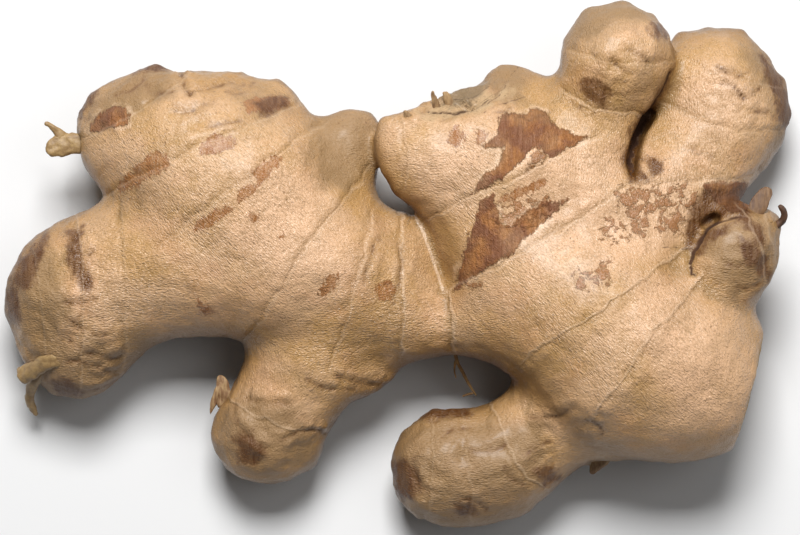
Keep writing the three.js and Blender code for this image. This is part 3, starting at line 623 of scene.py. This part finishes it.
def stem_relief(points, wander):
    """The height of the dried stem base's torn layers, and how much of that base is at each point."""
    from_stem = points - STEM_CENTRE
    along, across = from_stem @ STEM_ALONG, from_stem @ STEM_ACROSS
    out = np.hypot(along / STEM_HALF_LENGTH, across / STEM_HALF_WIDTH)
    close = np.linalg.norm(from_stem, axis=1) < STEM_REACH
    stem = np.where(close, unit(1.3 - out + wander), 0)
    level = np.zeros(len(points))
    layers = waves(np.stack([along / 3, across, level], axis=1), 2.2, 6)
    torn = waves(np.stack([along / 2.4, across, level], axis=1), 4.4, 7)
    return stem * (0.35 * (1 - 2.6 * np.abs(layers)) + 0.3 * np.clip(7 * torn, -1, 1) - 0.1), stem


def raise_relief(mesh, settings):
    """Raises the fine relief on the skin, and stores what its material reads."""
    points, normals = plan_of(mesh), normals_of(mesh)
    up = normals[:, 2]
    broad, medium, small = waves(points, 9.0, 1), waves(points, 3.2, 2), waves(points, 1.3, 3)
    waver = 0.9 * broad + 0.75 * medium + 0.3 * small
    rings, ring_ahead, ring_there = ring_relief(points, waver, medium, settings.rim / MM)
    folds, crease = fold_relief(points, up > 0, waver, small)
    cracks, cracked = crack_relief(points, up > -0.2, 0.5 * small + 0.25 * medium)
    torn, stem = stem_relief(points, 0.4 * medium + 0.3 * small)
    lumps = settings.lumps / MM * (1.1 * broad + 0.8 * medium + 0.3 * small)
    height = lumps + rings + folds + cracks + tip_relief(points) + corner_relief(points) + torn

    beyond = (points - CUT_THROUGH) @ CUT_FACING
    cut = unit((normals @ CUT_FACING - 0.9) / 0.08) * unit((beyond + 0.9) / 0.5)
    height = height * (1 - cut) + cut * (0.1 * small + 0.1 * medium - 0.12)
    height *= unit((points[:, 2] - PLAN_MIDDLE[2] - FLAT_BELOW) / 0.9)
    low, high = (np.array(corner) / MM + PLAN_MIDDLE for corner in CAD_BOX)
    raised = np.clip(points + normals * height[:, None], low + BOX_MARGIN, high - BOX_MARGIN)
    move_points(mesh, raised)

    def sunk(rounds):
        """How deep each point lies below its surroundings, evened that many times."""
        return np.einsum("ij,ij->i", evened(mesh, raised, rounds) - raised, normals)

    above = up > FACES_UP
    fields = {"hollow": sunk(HOLLOW_ROUNDS), "pit": sunk(PIT_ROUNDS), "up": up,
              "ring_ahead": ring_ahead, "ring_there": ring_there, "crease": crease, "crack": cracked,
              "stem": stem, "cut": cut, "split": np.where(above, beside_route(SPLIT, points), FAR)}
    for name, outlines in (("film", FILM), ("stain", STAIN), ("crust", CRUST), ("dull", DULL_AND_SHADE), ("pale", PALE_AND_HIGHLIGHT),
                           ("soft", SHADES), ("recess", RECESS)):
        inside = np.max([inside_outline(outline, points) for outline in outlines], axis=0)
        fields[name] = np.where(above, inside, OUTSIDE)
    for turn, weight in zip(FLOW_TURNS, growth_weights(points).T):
        fields[f"flow_{turn}"] = weight
    for name, values in fields.items():
        give(mesh, name, values)


# Making pieces

def deselect():
    """Leaves edit mode, with nothing selected."""
    if bpy.context.mode != "OBJECT":
        bpy.ops.object.mode_set(mode="OBJECT")
    bpy.ops.object.select_all(action="DESELECT")


def use(piece):
    """Makes one piece the only selected and the active one."""
    deselect()
    piece.select_set(True)
    bpy.context.view_layer.objects.active = piece


def apply_modifier(piece, kind, **settings):
    """Applies a modifier of that kind to a piece."""
    use(piece)
    modifier = piece.modifiers.new(kind.title(), kind)
    for name, value in settings.items():
        setattr(modifier, name, value)
    bpy.ops.object.modifier_apply(modifier=modifier.name)


def near_remnants(points):
    """Which points lie on the solid's own coarse roots and scales."""
    found = np.zeros(len(points), bool)
    for _, stations in REMNANTS.values():
        route = np.array(stations)
        for a, b in zip(route[:-1], route[1:]):
            edge = b[:3] - a[:3]
            share = unit((points - a[:3]) @ edge / (edge @ edge))
            size = np.maximum(a[3] + share * (b[3] - a[3]), a[4] + share * (b[4] - a[4]))
            gap = np.linalg.norm(points - a[:3] - share[:, None] * edge, axis=1)
            found |= gap < np.maximum(1.2 * size, 0.9) + 0.3
    return found


def bare_skin(name):
    """A merged copy of the solid without its roots and scales, closed again where they were."""
    piece = bpy.data.objects.new(name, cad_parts["ginger_root"].data.copy())
    bpy.context.scene.collection.objects.link(piece)
    use(piece)
    bpy.ops.object.mode_set(mode="EDIT")
    bpy.ops.mesh.select_all(action="SELECT")
    bpy.ops.mesh.remove_doubles(threshold=MERGE_WITHIN)
    bpy.ops.mesh.select_all(action="DESELECT")
    bpy.ops.object.mode_set(mode="OBJECT")
    piece.data.vertices.foreach_set("select", near_remnants(plan_of(piece.data)))
    bpy.ops.object.mode_set(mode="EDIT")
    bpy.ops.mesh.select_mode(type="VERT")
    bpy.ops.mesh.delete(type="VERT")
    for _ in range(2):
        bpy.ops.mesh.select_all(action="SELECT")
        bpy.ops.mesh.fill_holes(sides=0)
        bpy.ops.mesh.select_all(action="DESELECT")
        bpy.ops.mesh.select_loose()
        bpy.ops.mesh.delete(type="VERT")
    bpy.ops.mesh.select_all(action="SELECT")
    bpy.ops.mesh.quads_convert_to_tris()
    bpy.ops.object.mode_set(mode="OBJECT")
    return piece


def shoot(name, broad_way, stations):
    """A tapering shoot: a circle extruded from station to station, each ring squared up to the route."""
    route = [(Vector(station[:3]) - Vector(PLAN_MIDDLE)) * MM for station in stations]
    deselect()
    bpy.ops.mesh.primitive_circle_add(vertices=SHOOT_SIDES, radius=MM, fill_type="NGON", location=route[0])
    piece = bpy.context.object
    piece.name = piece.data.name = name
    bpy.ops.object.transform_apply(location=True, rotation=True, scale=True)
    broad, thin, half = Vector((1, 0, 0)), Vector((0, 1, 0)), (MM, MM)
    bpy.ops.object.mode_set(mode="EDIT")
    for n, station in enumerate(stations):
        if n:
            bpy.ops.mesh.extrude_region_move(TRANSFORM_OT_translate={"value": route[n] - route[n - 1]})
        tangent = (route[min(n + 1, len(route) - 1)] - route[max(n - 1, 0)]).normalized()
        new_thin = Vector(broad_way).cross(tangent).normalized()
        new_broad = tangent.cross(new_thin)
        new_half = station[3] * MM, station[4] * MM
        shape = bmesh.from_edit_mesh(piece.data)
        for vertex in (vertex for vertex in shape.verts if vertex.select):
            spoke = vertex.co - route[n]
            turn = math.atan2(spoke @ thin / half[1], spoke @ broad / half[0])
            vertex.co = (route[n] + new_half[0] * math.cos(turn) * new_broad
                         + new_half[1] * math.sin(turn) * new_thin)
        bmesh.update_edit_mesh(piece.data)
        broad, thin, half = new_broad, new_thin, new_half
    bpy.ops.mesh.select_all(action="SELECT")
    bpy.ops.mesh.normals_make_consistent(inside=False)
    bpy.ops.object.mode_set(mode="OBJECT")
    apply_modifier(piece, "SUBSURF", levels=2, render_levels=2)
    return piece


def roughen(piece, depth, size, seed):
    """Wrinkles a small piece's surface, in millimetres."""
    points = plan_of(piece.data)
    amount = depth * (waves(points, size, seed) + 0.5 * waves(points, size / 2.3, seed + 1))
    move_points(piece.data, points + normals_of(piece.data) * amount[:, None])


def remnants(name, table, depth, size, seed, finish):
    """Makes one piece of several shoots, joined, wrinkled and smooth."""
    shoots = [shoot(each, *shape) for each, shape in table.items()]
    deselect()
    for each in shoots:
        each.select_set(True)
    bpy.context.view_layer.objects.active = shoots[0]
    bpy.ops.object.join()
    piece = shoots[0]
    piece.name = piece.data.name = name
    roughen(piece, depth, size, seed)
    use(piece)
    bpy.ops.object.shade_smooth()
    piece.data.materials.append(finish)
    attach(piece, "root")


# Fields, from which the finishes are written as sums

class Field:
    """A number or colour that varies over the surface: one output of a shader node."""

    def __init__(self, socket):
        self.socket, self.tree = socket, socket.id_data

    def __add__(self, other):
        return calc("ADD", self, other)

    def __mul__(self, other):
        return calc("MULTIPLY", self, other)

    def __sub__(self, other):
        return calc("SUBTRACT", self, other)

    def __rsub__(self, other):
        return calc("SUBTRACT", other, self)


def fields_of(node):
    """A node's outputs by name."""
    return {socket.name: Field(socket) for socket in node.outputs}


def join(value, socket):
    """Links a field to a socket, or sets the socket to a number or colour."""
    if isinstance(value, Field):
        value.tree.links.new(value.socket, socket)
    else:
        socket.default_value = (*value, 1) if socket.type == "RGBA" else value


def calc(operation, *values):
    """A sum, product or the like of two values, of which one or both are fields."""
    tree = next(value.tree for value in values if isinstance(value, Field))
    node = tree.nodes.new("ShaderNodeMath")
    node.operation = operation
    for socket, value in zip(node.inputs, values):
        join(value, socket)
    return Field(node.outputs[0])


def mixed(share, a, b):
    """A colour between two: a where the share is 0, b where it is 1."""
    node = share.tree.nodes.new("ShaderNodeMix")
    node.data_type = "RGBA"
    for index, value in zip(MIX_COLOUR_SOCKETS, (share, a, b)):
        join(value, node.inputs[index])
    return Field(node.outputs[2])


def layered(colour, layers):
    """A colour under layers, each given as its place, its strength and its own colour."""
    for place, strength, tint in layers:
        colour = mixed(place * strength, colour, tint)
    return colour


def rise(value, low, high):
    """0 up to low, 1 from high on, and smooth between; it falls where low is above high."""
    node = value.tree.nodes.new("ShaderNodeMapRange")
    node.interpolation_type = "SMOOTHSTEP"
    for name, given in (("Value", value), ("From Min", low), ("From Max", high)):
        join(given, node.inputs[name])
    return Field(node.outputs[0])


def band(value, middle, half):
    """1 at the middle value, falling smoothly to 0 at half a width to either side."""
    return rise(calc("ABSOLUTE", value - middle), half, 0)


def spots(where, size, detail=3.0, roughness=0.55, distortion=0.0):
    """Noise from 0 to 1 with features of about that size in the units of where."""
    node = where.tree.nodes.new("ShaderNodeTexNoise")
    for name, value in (("Vector", where), ("Scale", 1 / size), ("Detail", detail),
                        ("Roughness", roughness), ("Distortion", distortion)):
        join(value, node.inputs[name])
    return Field(node.outputs["Fac"])


def place_in(tree, turn=0.0, stretch=(1, 1, 1), shift=(0, 0, 0)):
    """Object coordinates in metres, turned about z and measured in units of stretch."""
    where = tree.nodes.new("ShaderNodeTexCoord").outputs["Object"]
    node = tree.nodes.new("ShaderNodeMapping")
    node.vector_type = "TEXTURE"
    tree.links.new(where, node.inputs["Vector"])
    for name, value in (("Location", shift), ("Rotation", (0, 0, turn)), ("Scale", stretch)):
        node.inputs[name].default_value = value
    return Field(node.outputs[0])


def stored(tree, name):
    """What give stored at the mesh's points under that name."""
    node = tree.nodes.new("ShaderNodeAttribute")
    node.attribute_name = name
    return Field(node.outputs["Fac"])


# Shared effects. Each fills a shader node group, and gives its outputs by name.

def crinkles(tree, given):
    """Fine crinkles that run the way the rhizome grew."""
    parts = [spots(place_in(tree, math.radians(turn), (0.00078, 0.00028, 0.00028)), 1, 1.5, 0.5, 0.5)
             * stored(tree, f"flow_{turn}") for turn in FLOW_TURNS]
    total = parts[0] + parts[1] + parts[2] + parts[3]
    grain = spots(place_in(tree), 0.0003, 2, 0.6) * 0.3
    soft = spots(place_in(tree), 0.0019, 1.5, 0.5, 0.5)
    return {"Height": total + grain + soft * 0.75, "Grain": total * 0.7 + grain}


def blotches(tree, given):
    """Whether a place is inside soft patches of three sizes."""
    sizes = {"Broad": (0.022, 0.38, 0.62), "Middling": (0.0065, 0.4, 0.64), "Small": (0.0017, 0.46, 0.66)}
    return {name: rise(spots(place_in(tree), size, 4, 0.6, 0.4), low, high)
            for name, (size, low, high) in sizes.items()}


def speckles(tree, given):
    """Small dark specks, in clusters."""
    cells = tree.nodes.new("ShaderNodeTexVoronoi")
    join(place_in(tree), cells.inputs["Vector"])
    join(calc("DIVIDE", 1, given["Spacing"]), cells.inputs["Scale"])
    clusters = rise(spots(place_in(tree), 0.009), 0.52, 0.66)
    return {"Mask": rise(Field(cells.outputs["Distance"]), given["Size"], 0) * clusters}


def torn_film(tree, given):
    """A dried film with a ragged edge, from the distance in millimetres to its outline."""
    rags = spots(place_in(tree), 0.0026, 6, 0.75) - 0.5
    fibres = spots(place_in(tree, 0, (0.0005, 0.003, 0.003)), 1, 3, 0.6) - 0.5
    streaks = spots(place_in(tree, 0, (0.0007, 0.004, 0.004)), 1, 5, 0.7, 0.6)
    inside = given["Inside"] + (rags + fibres * 0.5) * given["Raggedness"]
    return {"Mask": rise(inside, -0.25, 0.25), "Edge": band(inside, 0.1, 0.35),
            "Streaks": rise(streaks, 0.38, 0.64), "Inside": inside}


def crust_flecks(tree, given):
    """Flecks of brown crust, thinning out beyond an outline."""
    flecks = spots(place_in(tree), 0.0019, 6, 0.7, 0.8) * 0.6 + spots(place_in(tree), 0.004, 3, 0.6) * 0.4
    return {"Mask": rise(flecks + calc("MINIMUM", given["Inside"], 2) * 0.055, 0.59, 0.64)}


def ring_marks(tree, given):
    """The pale rim of a ring scar, partly a painted highlight, and the dark line beyond it, partly painted
    shade, broken up along the way; and a wider band of painted shade past them.
    """
    there = stored(tree, "ring_there")
    ahead = stored(tree, "ring_ahead") + (spots(place_in(tree), 0.0013) - 0.5) * 0.8
    breaks = rise(spots(place_in(tree), 0.0032, 3, 0.6), 0.36, 0.6) * 0.75 + 0.25
    return {"Rim": band(ahead, -0.3, 0.45) * there, "Line": band(ahead, 0.3, 0.45) * there * breaks,
            "Shade_beyond": band(ahead, 0.6, 1.8) * there}


EFFECTS = {
    "Skin crinkles": (crinkles, ()),
    "Blotches": (blotches, ()),
    "Speckles": (speckles, ("Spacing", "Size")),
    "Torn film": (torn_film, ("Inside", "Raggedness")),
    "Crust flecks": (crust_flecks, ("Inside",)),
    "Ring marks": (ring_marks, ()),
}


def effect(name):
    """The shader node group of a shared effect, made the first time that it is wanted."""
    if name in bpy.data.node_groups:
        return bpy.data.node_groups[name]
    fill, inputs = EFFECTS[name]
    tree = bpy.data.node_groups.new(name, "ShaderNodeTree")
    for label in inputs:
        tree.interface.new_socket(label, in_out="INPUT", socket_type="NodeSocketFloat")
    made = fill(tree, fields_of(tree.nodes.new("NodeGroupInput")))
    for label in made:
        tree.interface.new_socket(label, in_out="OUTPUT", socket_type="NodeSocketFloat")
    outputs = tree.nodes.new("NodeGroupOutput").inputs
    for label, value in made.items():
        join(value, outputs[label])
    return tree


def placed(tree, name, **values):
    """The outputs of a shared effect in a finish."""
    node = tree.nodes.new("ShaderNodeGroup")
    node.node_tree = effect(name)
    for label, value in values.items():
        join(value, node.inputs[label])
    return fields_of(node)


# Finishes

def new_finish(name, roughness):
    """A new material, with its node tree and its shader."""
    finish = bpy.data.materials.new(name)
    finish.use_nodes = True
    shader = finish.node_tree.nodes["Principled BSDF"]
    shader.inputs["Roughness"].default_value = roughness
    return finish, finish.node_tree, shader


def bump(shader, height, distance):
    """Gives a shader fine relief from a field."""
    node = height.tree.nodes.new("ShaderNodeBump")
    node.inputs["Strength"].default_value = 1.0
    node.inputs["Distance"].default_value = distance
    join(height, node.inputs["Height"])
    join(Field(node.outputs["Normal"]), shader.inputs["Normal"])


def grey(level):
    """A grey, for a roughness that is mixed like a colour."""
    return level, level, level


def skin_finish(settings):
    """Satin tan skin: colour zones, film of old scale leaves, ring marks, specks and a dried base, with
    painted shade in hollows, creases, pits and cracks, on steep sides and towards the floor, and painted
    light on humps.
    """
    finish, tree, shader = new_finish("ginger skin", 0.5)
    shader.inputs["Specular IOR Level"].default_value = 0.5
    shader.inputs["Coat Roughness"].default_value = 0.26
    zones, rings, ripples = (placed(tree, name) for name in ("Blotches", "Ring marks", "Skin crinkles"))
    specks = placed(tree, "Speckles", Spacing=0.0011, Size=0.3)["Mask"]
    dots = placed(tree, "Speckles", Spacing=0.0014, Size=0.42)["Mask"]
    film = placed(tree, "Torn film", Inside=stored(tree, "film"), Raggedness=3.2)
    stain = placed(tree, "Torn film", Inside=stored(tree, "stain"), Raggedness=4.4)
    crust = placed(tree, "Crust flecks", Inside=stored(tree, "crust"))["Mask"]
    patchy, grain = zones["Middling"], ripples["Grain"]
    hollow, stem, cut = stored(tree, "hollow"), stored(tree, "stem"), stored(tree, "cut")

    # The height above the floor, for painted shade that darkens the skin towards the floor.
    apart = tree.nodes.new("ShaderNodeSeparateXYZ")
    join(place_in(tree), apart.inputs[0])
    height_up = Field(apart.outputs["Z"])
    # up is the way the skin faces, which paints shade on its steep sides.
    up = stored(tree, "up") + (patchy - 0.5) * 0.16
    rosy = rise(spots(place_in(tree, shift=(0.3, 0.1, 0)), 0.012, 4, 0.6), 0.46, 0.66)
    # Pale peach places, partly painted highlight.
    pale = rise(stored(tree, "pale") + patchy * 2, -3, 4)
    # Duller, greyish places, partly painted shade on the lower fingers and the upper right finger's side.
    dull = rise(stored(tree, "dull") + patchy * 2, -2, 3)
    # The sunken middle of the dried stem base, greyish and painted darker as shade.
    recess = rise(stored(tree, "recess") + zones["Small"], -0.4, 0.9)
    # The cracks and crevices, painted near black as shade inside them.
    crack = rise(stored(tree, "crack"), 0.22, -0.05)
    dried = rise(stem, 0.1, 0.6)
    # Soft dark stains, partly painted shade in a crevice, around the side bud and on a finger's side.
    smudge = stored(tree, "soft") + (spots(place_in(tree), 0.003, 4, 0.65) - 0.5) * 4.6
    soft = rise(smudge, -1.1, 0.6) * (stain["Streaks"] * 0.26 + 0.72)
    golden = rise(spots(place_in(tree, shift=(0.1, 0.2, 0)), 0.0055, 4, 0.65), 0.42, 0.6)
    film_colour = mixed(golden, (0.19, 0.065, 0.024), (0.37, 0.145, 0.036))
    film_colour = mixed(film["Streaks"] * 0.55, film_colour, settings.film)
    bark = spots(place_in(tree, 0.6, (0.004, 0.0006, 0.0006)), 1, 5, 0.7, 0.5)

    join(layered(settings.skin, (
        # peach, rosy and olive zones, pale places that are partly painted highlight, and grain
        (zones["Broad"], 0.8, settings.blush),
        (rosy, 0.4, (0.6, 0.31, 0.165)),
        (pale, 0.8, (0.75, 0.47, 0.285)),
        (patchy, 0.32, settings.shade),
        (zones["Small"], 0.25, settings.blush),
        (rise(grain, 0.5, 0.36), 0.5, settings.shade),
        (rise(grain, 0.5, 0.64), 0.4, settings.blush),
        # painted shade in hollows and painted light on humps, painted shade on steep sides and towards the
        # floor, duller places that are partly painted shade, and painted shade beyond the ring scars
        (rise(hollow, 0.05, 0.5), 0.7, settings.shade),
        (rise(hollow, -0.05, -0.4), 0.3, settings.blush),
        (rise(up, 0.92, 0.4), 0.7, (0.38, 0.2, 0.055)),
        (rise(up, 0.5, 0), 0.75, (0.15, 0.07, 0.018)),
        (rise(height_up, 0.021, 0.004), 0.85, (0.17, 0.085, 0.024)),
        (dull, 0.8, (0.27, 0.16, 0.068)),
        (rings["Shade_beyond"], 0.3, settings.shade),
        # ochre stains, crust, the torn film with its fringe, and soft dark stains that are partly painted
        # shade
        (stain["Mask"], stain["Streaks"] * 0.38 + 0.6, settings.stain),
        (stain["Edge"], 0.35, (0.17, 0.065, 0.02)),
        (crust, 0.8, (0.3, 0.115, 0.03)),
        (band(film["Inside"], -0.5, 0.8) * golden, 0.45, (0.8, 0.56, 0.37)),
        (film["Mask"], 0.96 - patchy * 0.25, film_colour),
        (film["Edge"], 0.3, (0.2, 0.075, 0.025)),
        (soft, 1, (0.1, 0.033, 0.005)),
        # ring scars, their pale rim partly painted highlight and their dark line partly painted shade,
        # painted shade in creases and pits, and specks
        (rings["Rim"], 0.42, (0.76, 0.55, 0.37)),
        (rings["Line"], 0.3, (0.2, 0.1, 0.035)),
        (stored(tree, "crease"), 0.75, (0.17, 0.08, 0.03)),
        (rise(stored(tree, "pit"), 0.09, 0.3), 0.45, (0.17, 0.08, 0.03)),
        (specks, 0.7, (0.14, 0.06, 0.02)),
        # the dried stem base, the pale slit, painted shade in its sunken middle and in the cracks and
        # crevices, and the cut end with its dots of fibre ends
        (dried, 0.9, mixed(rise(bark, 0.34, 0.44), (0.2, 0.115, 0.05), (0.52, 0.35, 0.19))),
        (rise(stored(tree, "split"), 0.42, 0.16), 0.7, (0.74, 0.54, 0.37)),
        (recess, 0.85, (0.2, 0.135, 0.07)),
        (crack, 0.92, (0.05, 0.017, 0.006)),
        (cut, 1, mixed(dots * 0.6, (0.4, 0.25, 0.1), (0.2, 0.1, 0.04))),
    )), shader.inputs["Base Color"])
    join(layered(grey(0.25), (
        (grain, 0.6, grey(0.44)),
        (dull, 1, grey(0.52)),
        (film["Mask"], 1, grey(0.55)),
        (dried, 1, grey(0.75)),
        (calc("MAXIMUM", crack, cut), 1, grey(0.9)),
    )), shader.inputs["Roughness"])
    covered = calc("MAXIMUM", calc("MAXIMUM", soft, crack), calc("MAXIMUM", film["Mask"], cut))
    join((1 - covered) * 0.15, shader.inputs["Coat Weight"])
    bump(shader, ripples["Height"] + film["Mask"] * 0.35 + film["Streaks"] * 0.35 * film["Mask"] + crust * 0.4
         + rings["Rim"] * 0.25 - rings["Line"] * 0.45 + bark * 1.8 * stem, settings.ripple)
    return finish


def dry_finish(name, pale, dark, roughness, streak=(0.0005, 0.0024, 0.0024), depth=0.00018):
    """A dried root or scale: two colours in streaks along it."""
    finish, tree, shader = new_finish(name, roughness)
    streaks = spots(place_in(tree, 0, streak), 1, 4, 0.65, 0.3)
    patches = spots(place_in(tree), 0.003, 3, 0.6)
    share = rise(streaks, 0.36, 0.64) * 0.6 + rise(patches, 0.4, 0.62) * 0.4
    join(mixed(share, dark, pale), shader.inputs["Base Color"])
    bump(shader, streaks, depth)
    return finish


# The operators, one for each group of pieces

class GINGER_OT_skin(bpy.types.Operator):
    """Makes the rhizome's skin from the solid, with its rings, folds, film and dried stem base"""
    bl_idname = "ginger.skin"
    bl_label = "Skin"

    def execute(self, context):
        settings = context.scene.ginger
        piece = bare_skin("skin")
        apply_modifier(piece, "REMESH", mode="VOXEL", voxel_size=settings.skin_step)
        move_points(piece.data, evened(piece.data, plan_of(piece.data), settings.skin_evening))
        piece.data.update()
        raise_relief(piece.data, settings)
        piece.data.materials.clear()
        piece.data.materials.append(skin_finish(settings))
        use(piece)
        bpy.ops.object.shade_smooth()
        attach(piece, "root")
        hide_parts("ginger_root")
        return {"FINISHED"}


class GINGER_OT_roots(bpy.types.Operator):
    """Makes the fleshy stubs of roots at the left end"""
    bl_idname = "ginger.roots"
    bl_label = "Stub roots"

    def execute(self, context):
        pale = context.scene.ginger.root
        finish = dry_finish("root stub", pale, (0.25, 0.15, 0.062), 0.5, (0.0008, 0.0008, 0.003), 0.00015)
        remnants("fleshy_roots", FLESHY_ROOTS, 0.32, 1.3, 11, finish)
        return {"FINISHED"}


class GINGER_OT_scales(bpy.types.Operator):
    """Makes the papery remains of scale leaves"""
    bl_idname = "ginger.scales"
    bl_label = "Papery scales"

    def execute(self, context):
        finish = dry_finish("papery scale", (0.44, 0.29, 0.14), (0.17, 0.08, 0.032), 0.65)
        remnants("papery_scales", PAPERY_SCALES, 0.22, 1.5, 21, finish)
        return {"FINISHED"}


class GINGER_OT_curls(bpy.types.Operator):
    """Makes the brown flap, the dark dried curl and the crumb by the side bud"""
    bl_idname = "ginger.curls"
    bl_label = "Flap and dark curls"

    def execute(self, context):
        finish = dry_finish("brown flap", (0.22, 0.12, 0.052), (0.1, 0.045, 0.02), 0.6)
        remnants("bud_flap", BUD_FLAP, 0.2, 1.4, 61, finish)
        finish = dry_finish("dark curl", (0.13, 0.06, 0.028), (0.035, 0.016, 0.009), 0.6)
        remnants("dark_curls", DARK_CURLS, 0.12, 0.9, 31, finish)
        return {"FINISHED"}


class GINGER_OT_stem(bpy.types.Operator):
    """Makes the dried fibres at the edge of the old stem's base"""
    bl_idname = "ginger.stem"
    bl_label = "Stem fibres"

    def execute(self, context):
        finish = dry_finish("dried stem", (0.42, 0.27, 0.13), (0.14, 0.07, 0.03), 0.75)
        remnants("stem_fibres", DRIED_FIBRES, 0.25, 1.1, 41, finish)
        return {"FINISHED"}


class GINGER_OT_rootlet(bpy.types.Operator):
    """Makes the thin branching rootlet by the gap in the middle"""
    bl_idname = "ginger.rootlet"
    bl_label = "Rootlet"

    def execute(self, context):
        finish = dry_finish("rootlet", (0.46, 0.28, 0.11), (0.2, 0.1, 0.04), 0.6)
        remnants("rootlet", ROOTLET, 0.05, 0.7, 51, finish)
        return {"FINISHED"}


class GINGER_OT_studio(bpy.types.Operator):
    """Makes a pale floor, two soft lights, and the camera that looks straight down"""
    bl_idname = "ginger.studio"
    bl_label = "Studio"

    def execute(self, context):
        settings = context.scene.ginger
        deselect()
        bpy.ops.mesh.primitive_plane_add(size=FLOOR_SIZE, location=(0, 0, 0))
        floor = context.object
        floor.name = "floor"
        finish, _, shader = new_finish("floor", 0.9)
        shader.inputs["Base Color"].default_value = (*settings.floor, 1)
        floor.data.materials.append(finish)
        for name, (place, size, share) in LIGHTS.items():
            bpy.ops.object.light_add(type="AREA", location=place)
            light = context.object
            light.name = name
            light.data.size, light.data.energy = size, settings.key * share
            light.rotation_euler = (Vector(LIT_POINT) - light.location).to_track_quat("-Z", "Y").to_euler()
        world = bpy.data.worlds.new("studio")
        world.use_nodes = True
        world.node_tree.nodes["Background"].inputs["Color"].default_value = (1, 1, 1, 1)
        world.node_tree.nodes["Background"].inputs["Strength"].default_value = SKY_STRENGTH
        context.scene.world = world
        across, away = -PLAN_MIDDLE[:2] * MM
        bpy.ops.object.camera_add(location=(across, away, CAMERA_HEIGHT), rotation=(0, 0, 0))
        camera = context.object
        camera.data.lens, camera.data.sensor_width = CAMERA_LENS, CAMERA_SENSOR
        context.scene.camera = camera
        context.scene.view_settings.view_transform = "Standard"
        return {"FINISHED"}


class GINGER_PT_panel(bpy.types.Panel):
    """Lists the pieces and their settings"""
    bl_idname = "GINGER_PT_panel"
    bl_label = "Ginger root"
    bl_space_type = "VIEW_3D"
    bl_region_type = "UI"
    bl_category = "Ginger"

    def draw(self, context):
        settings = context.scene.ginger
        for name in GingerSettings.__annotations__:
            self.layout.prop(settings, name)
        for operator in OPERATORS:
            self.layout.operator(operator.bl_idname)


OPERATORS = (GINGER_OT_skin, GINGER_OT_roots, GINGER_OT_scales, GINGER_OT_curls, GINGER_OT_stem,
             GINGER_OT_rootlet, GINGER_OT_studio)
CLASSES = (GingerSettings, *OPERATORS, GINGER_PT_panel)


def register():
    for each in CLASSES:
        bpy.utils.register_class(each)
    bpy.types.Scene.ginger = PointerProperty(type=GingerSettings)


def unregister():
    del bpy.types.Scene.ginger
    for each in reversed(CLASSES):
        bpy.utils.unregister_class(each)


def main():
    register()
    bpy.ops.ginger.skin()
    bpy.ops.ginger.roots()
    bpy.ops.ginger.scales()
    bpy.ops.ginger.curls()
    bpy.ops.ginger.stem()
    bpy.ops.ginger.rootlet()
    bpy.ops.ginger.studio()
    bpy.context.view_layer.update()


if __name__ == "__main__":
    main()
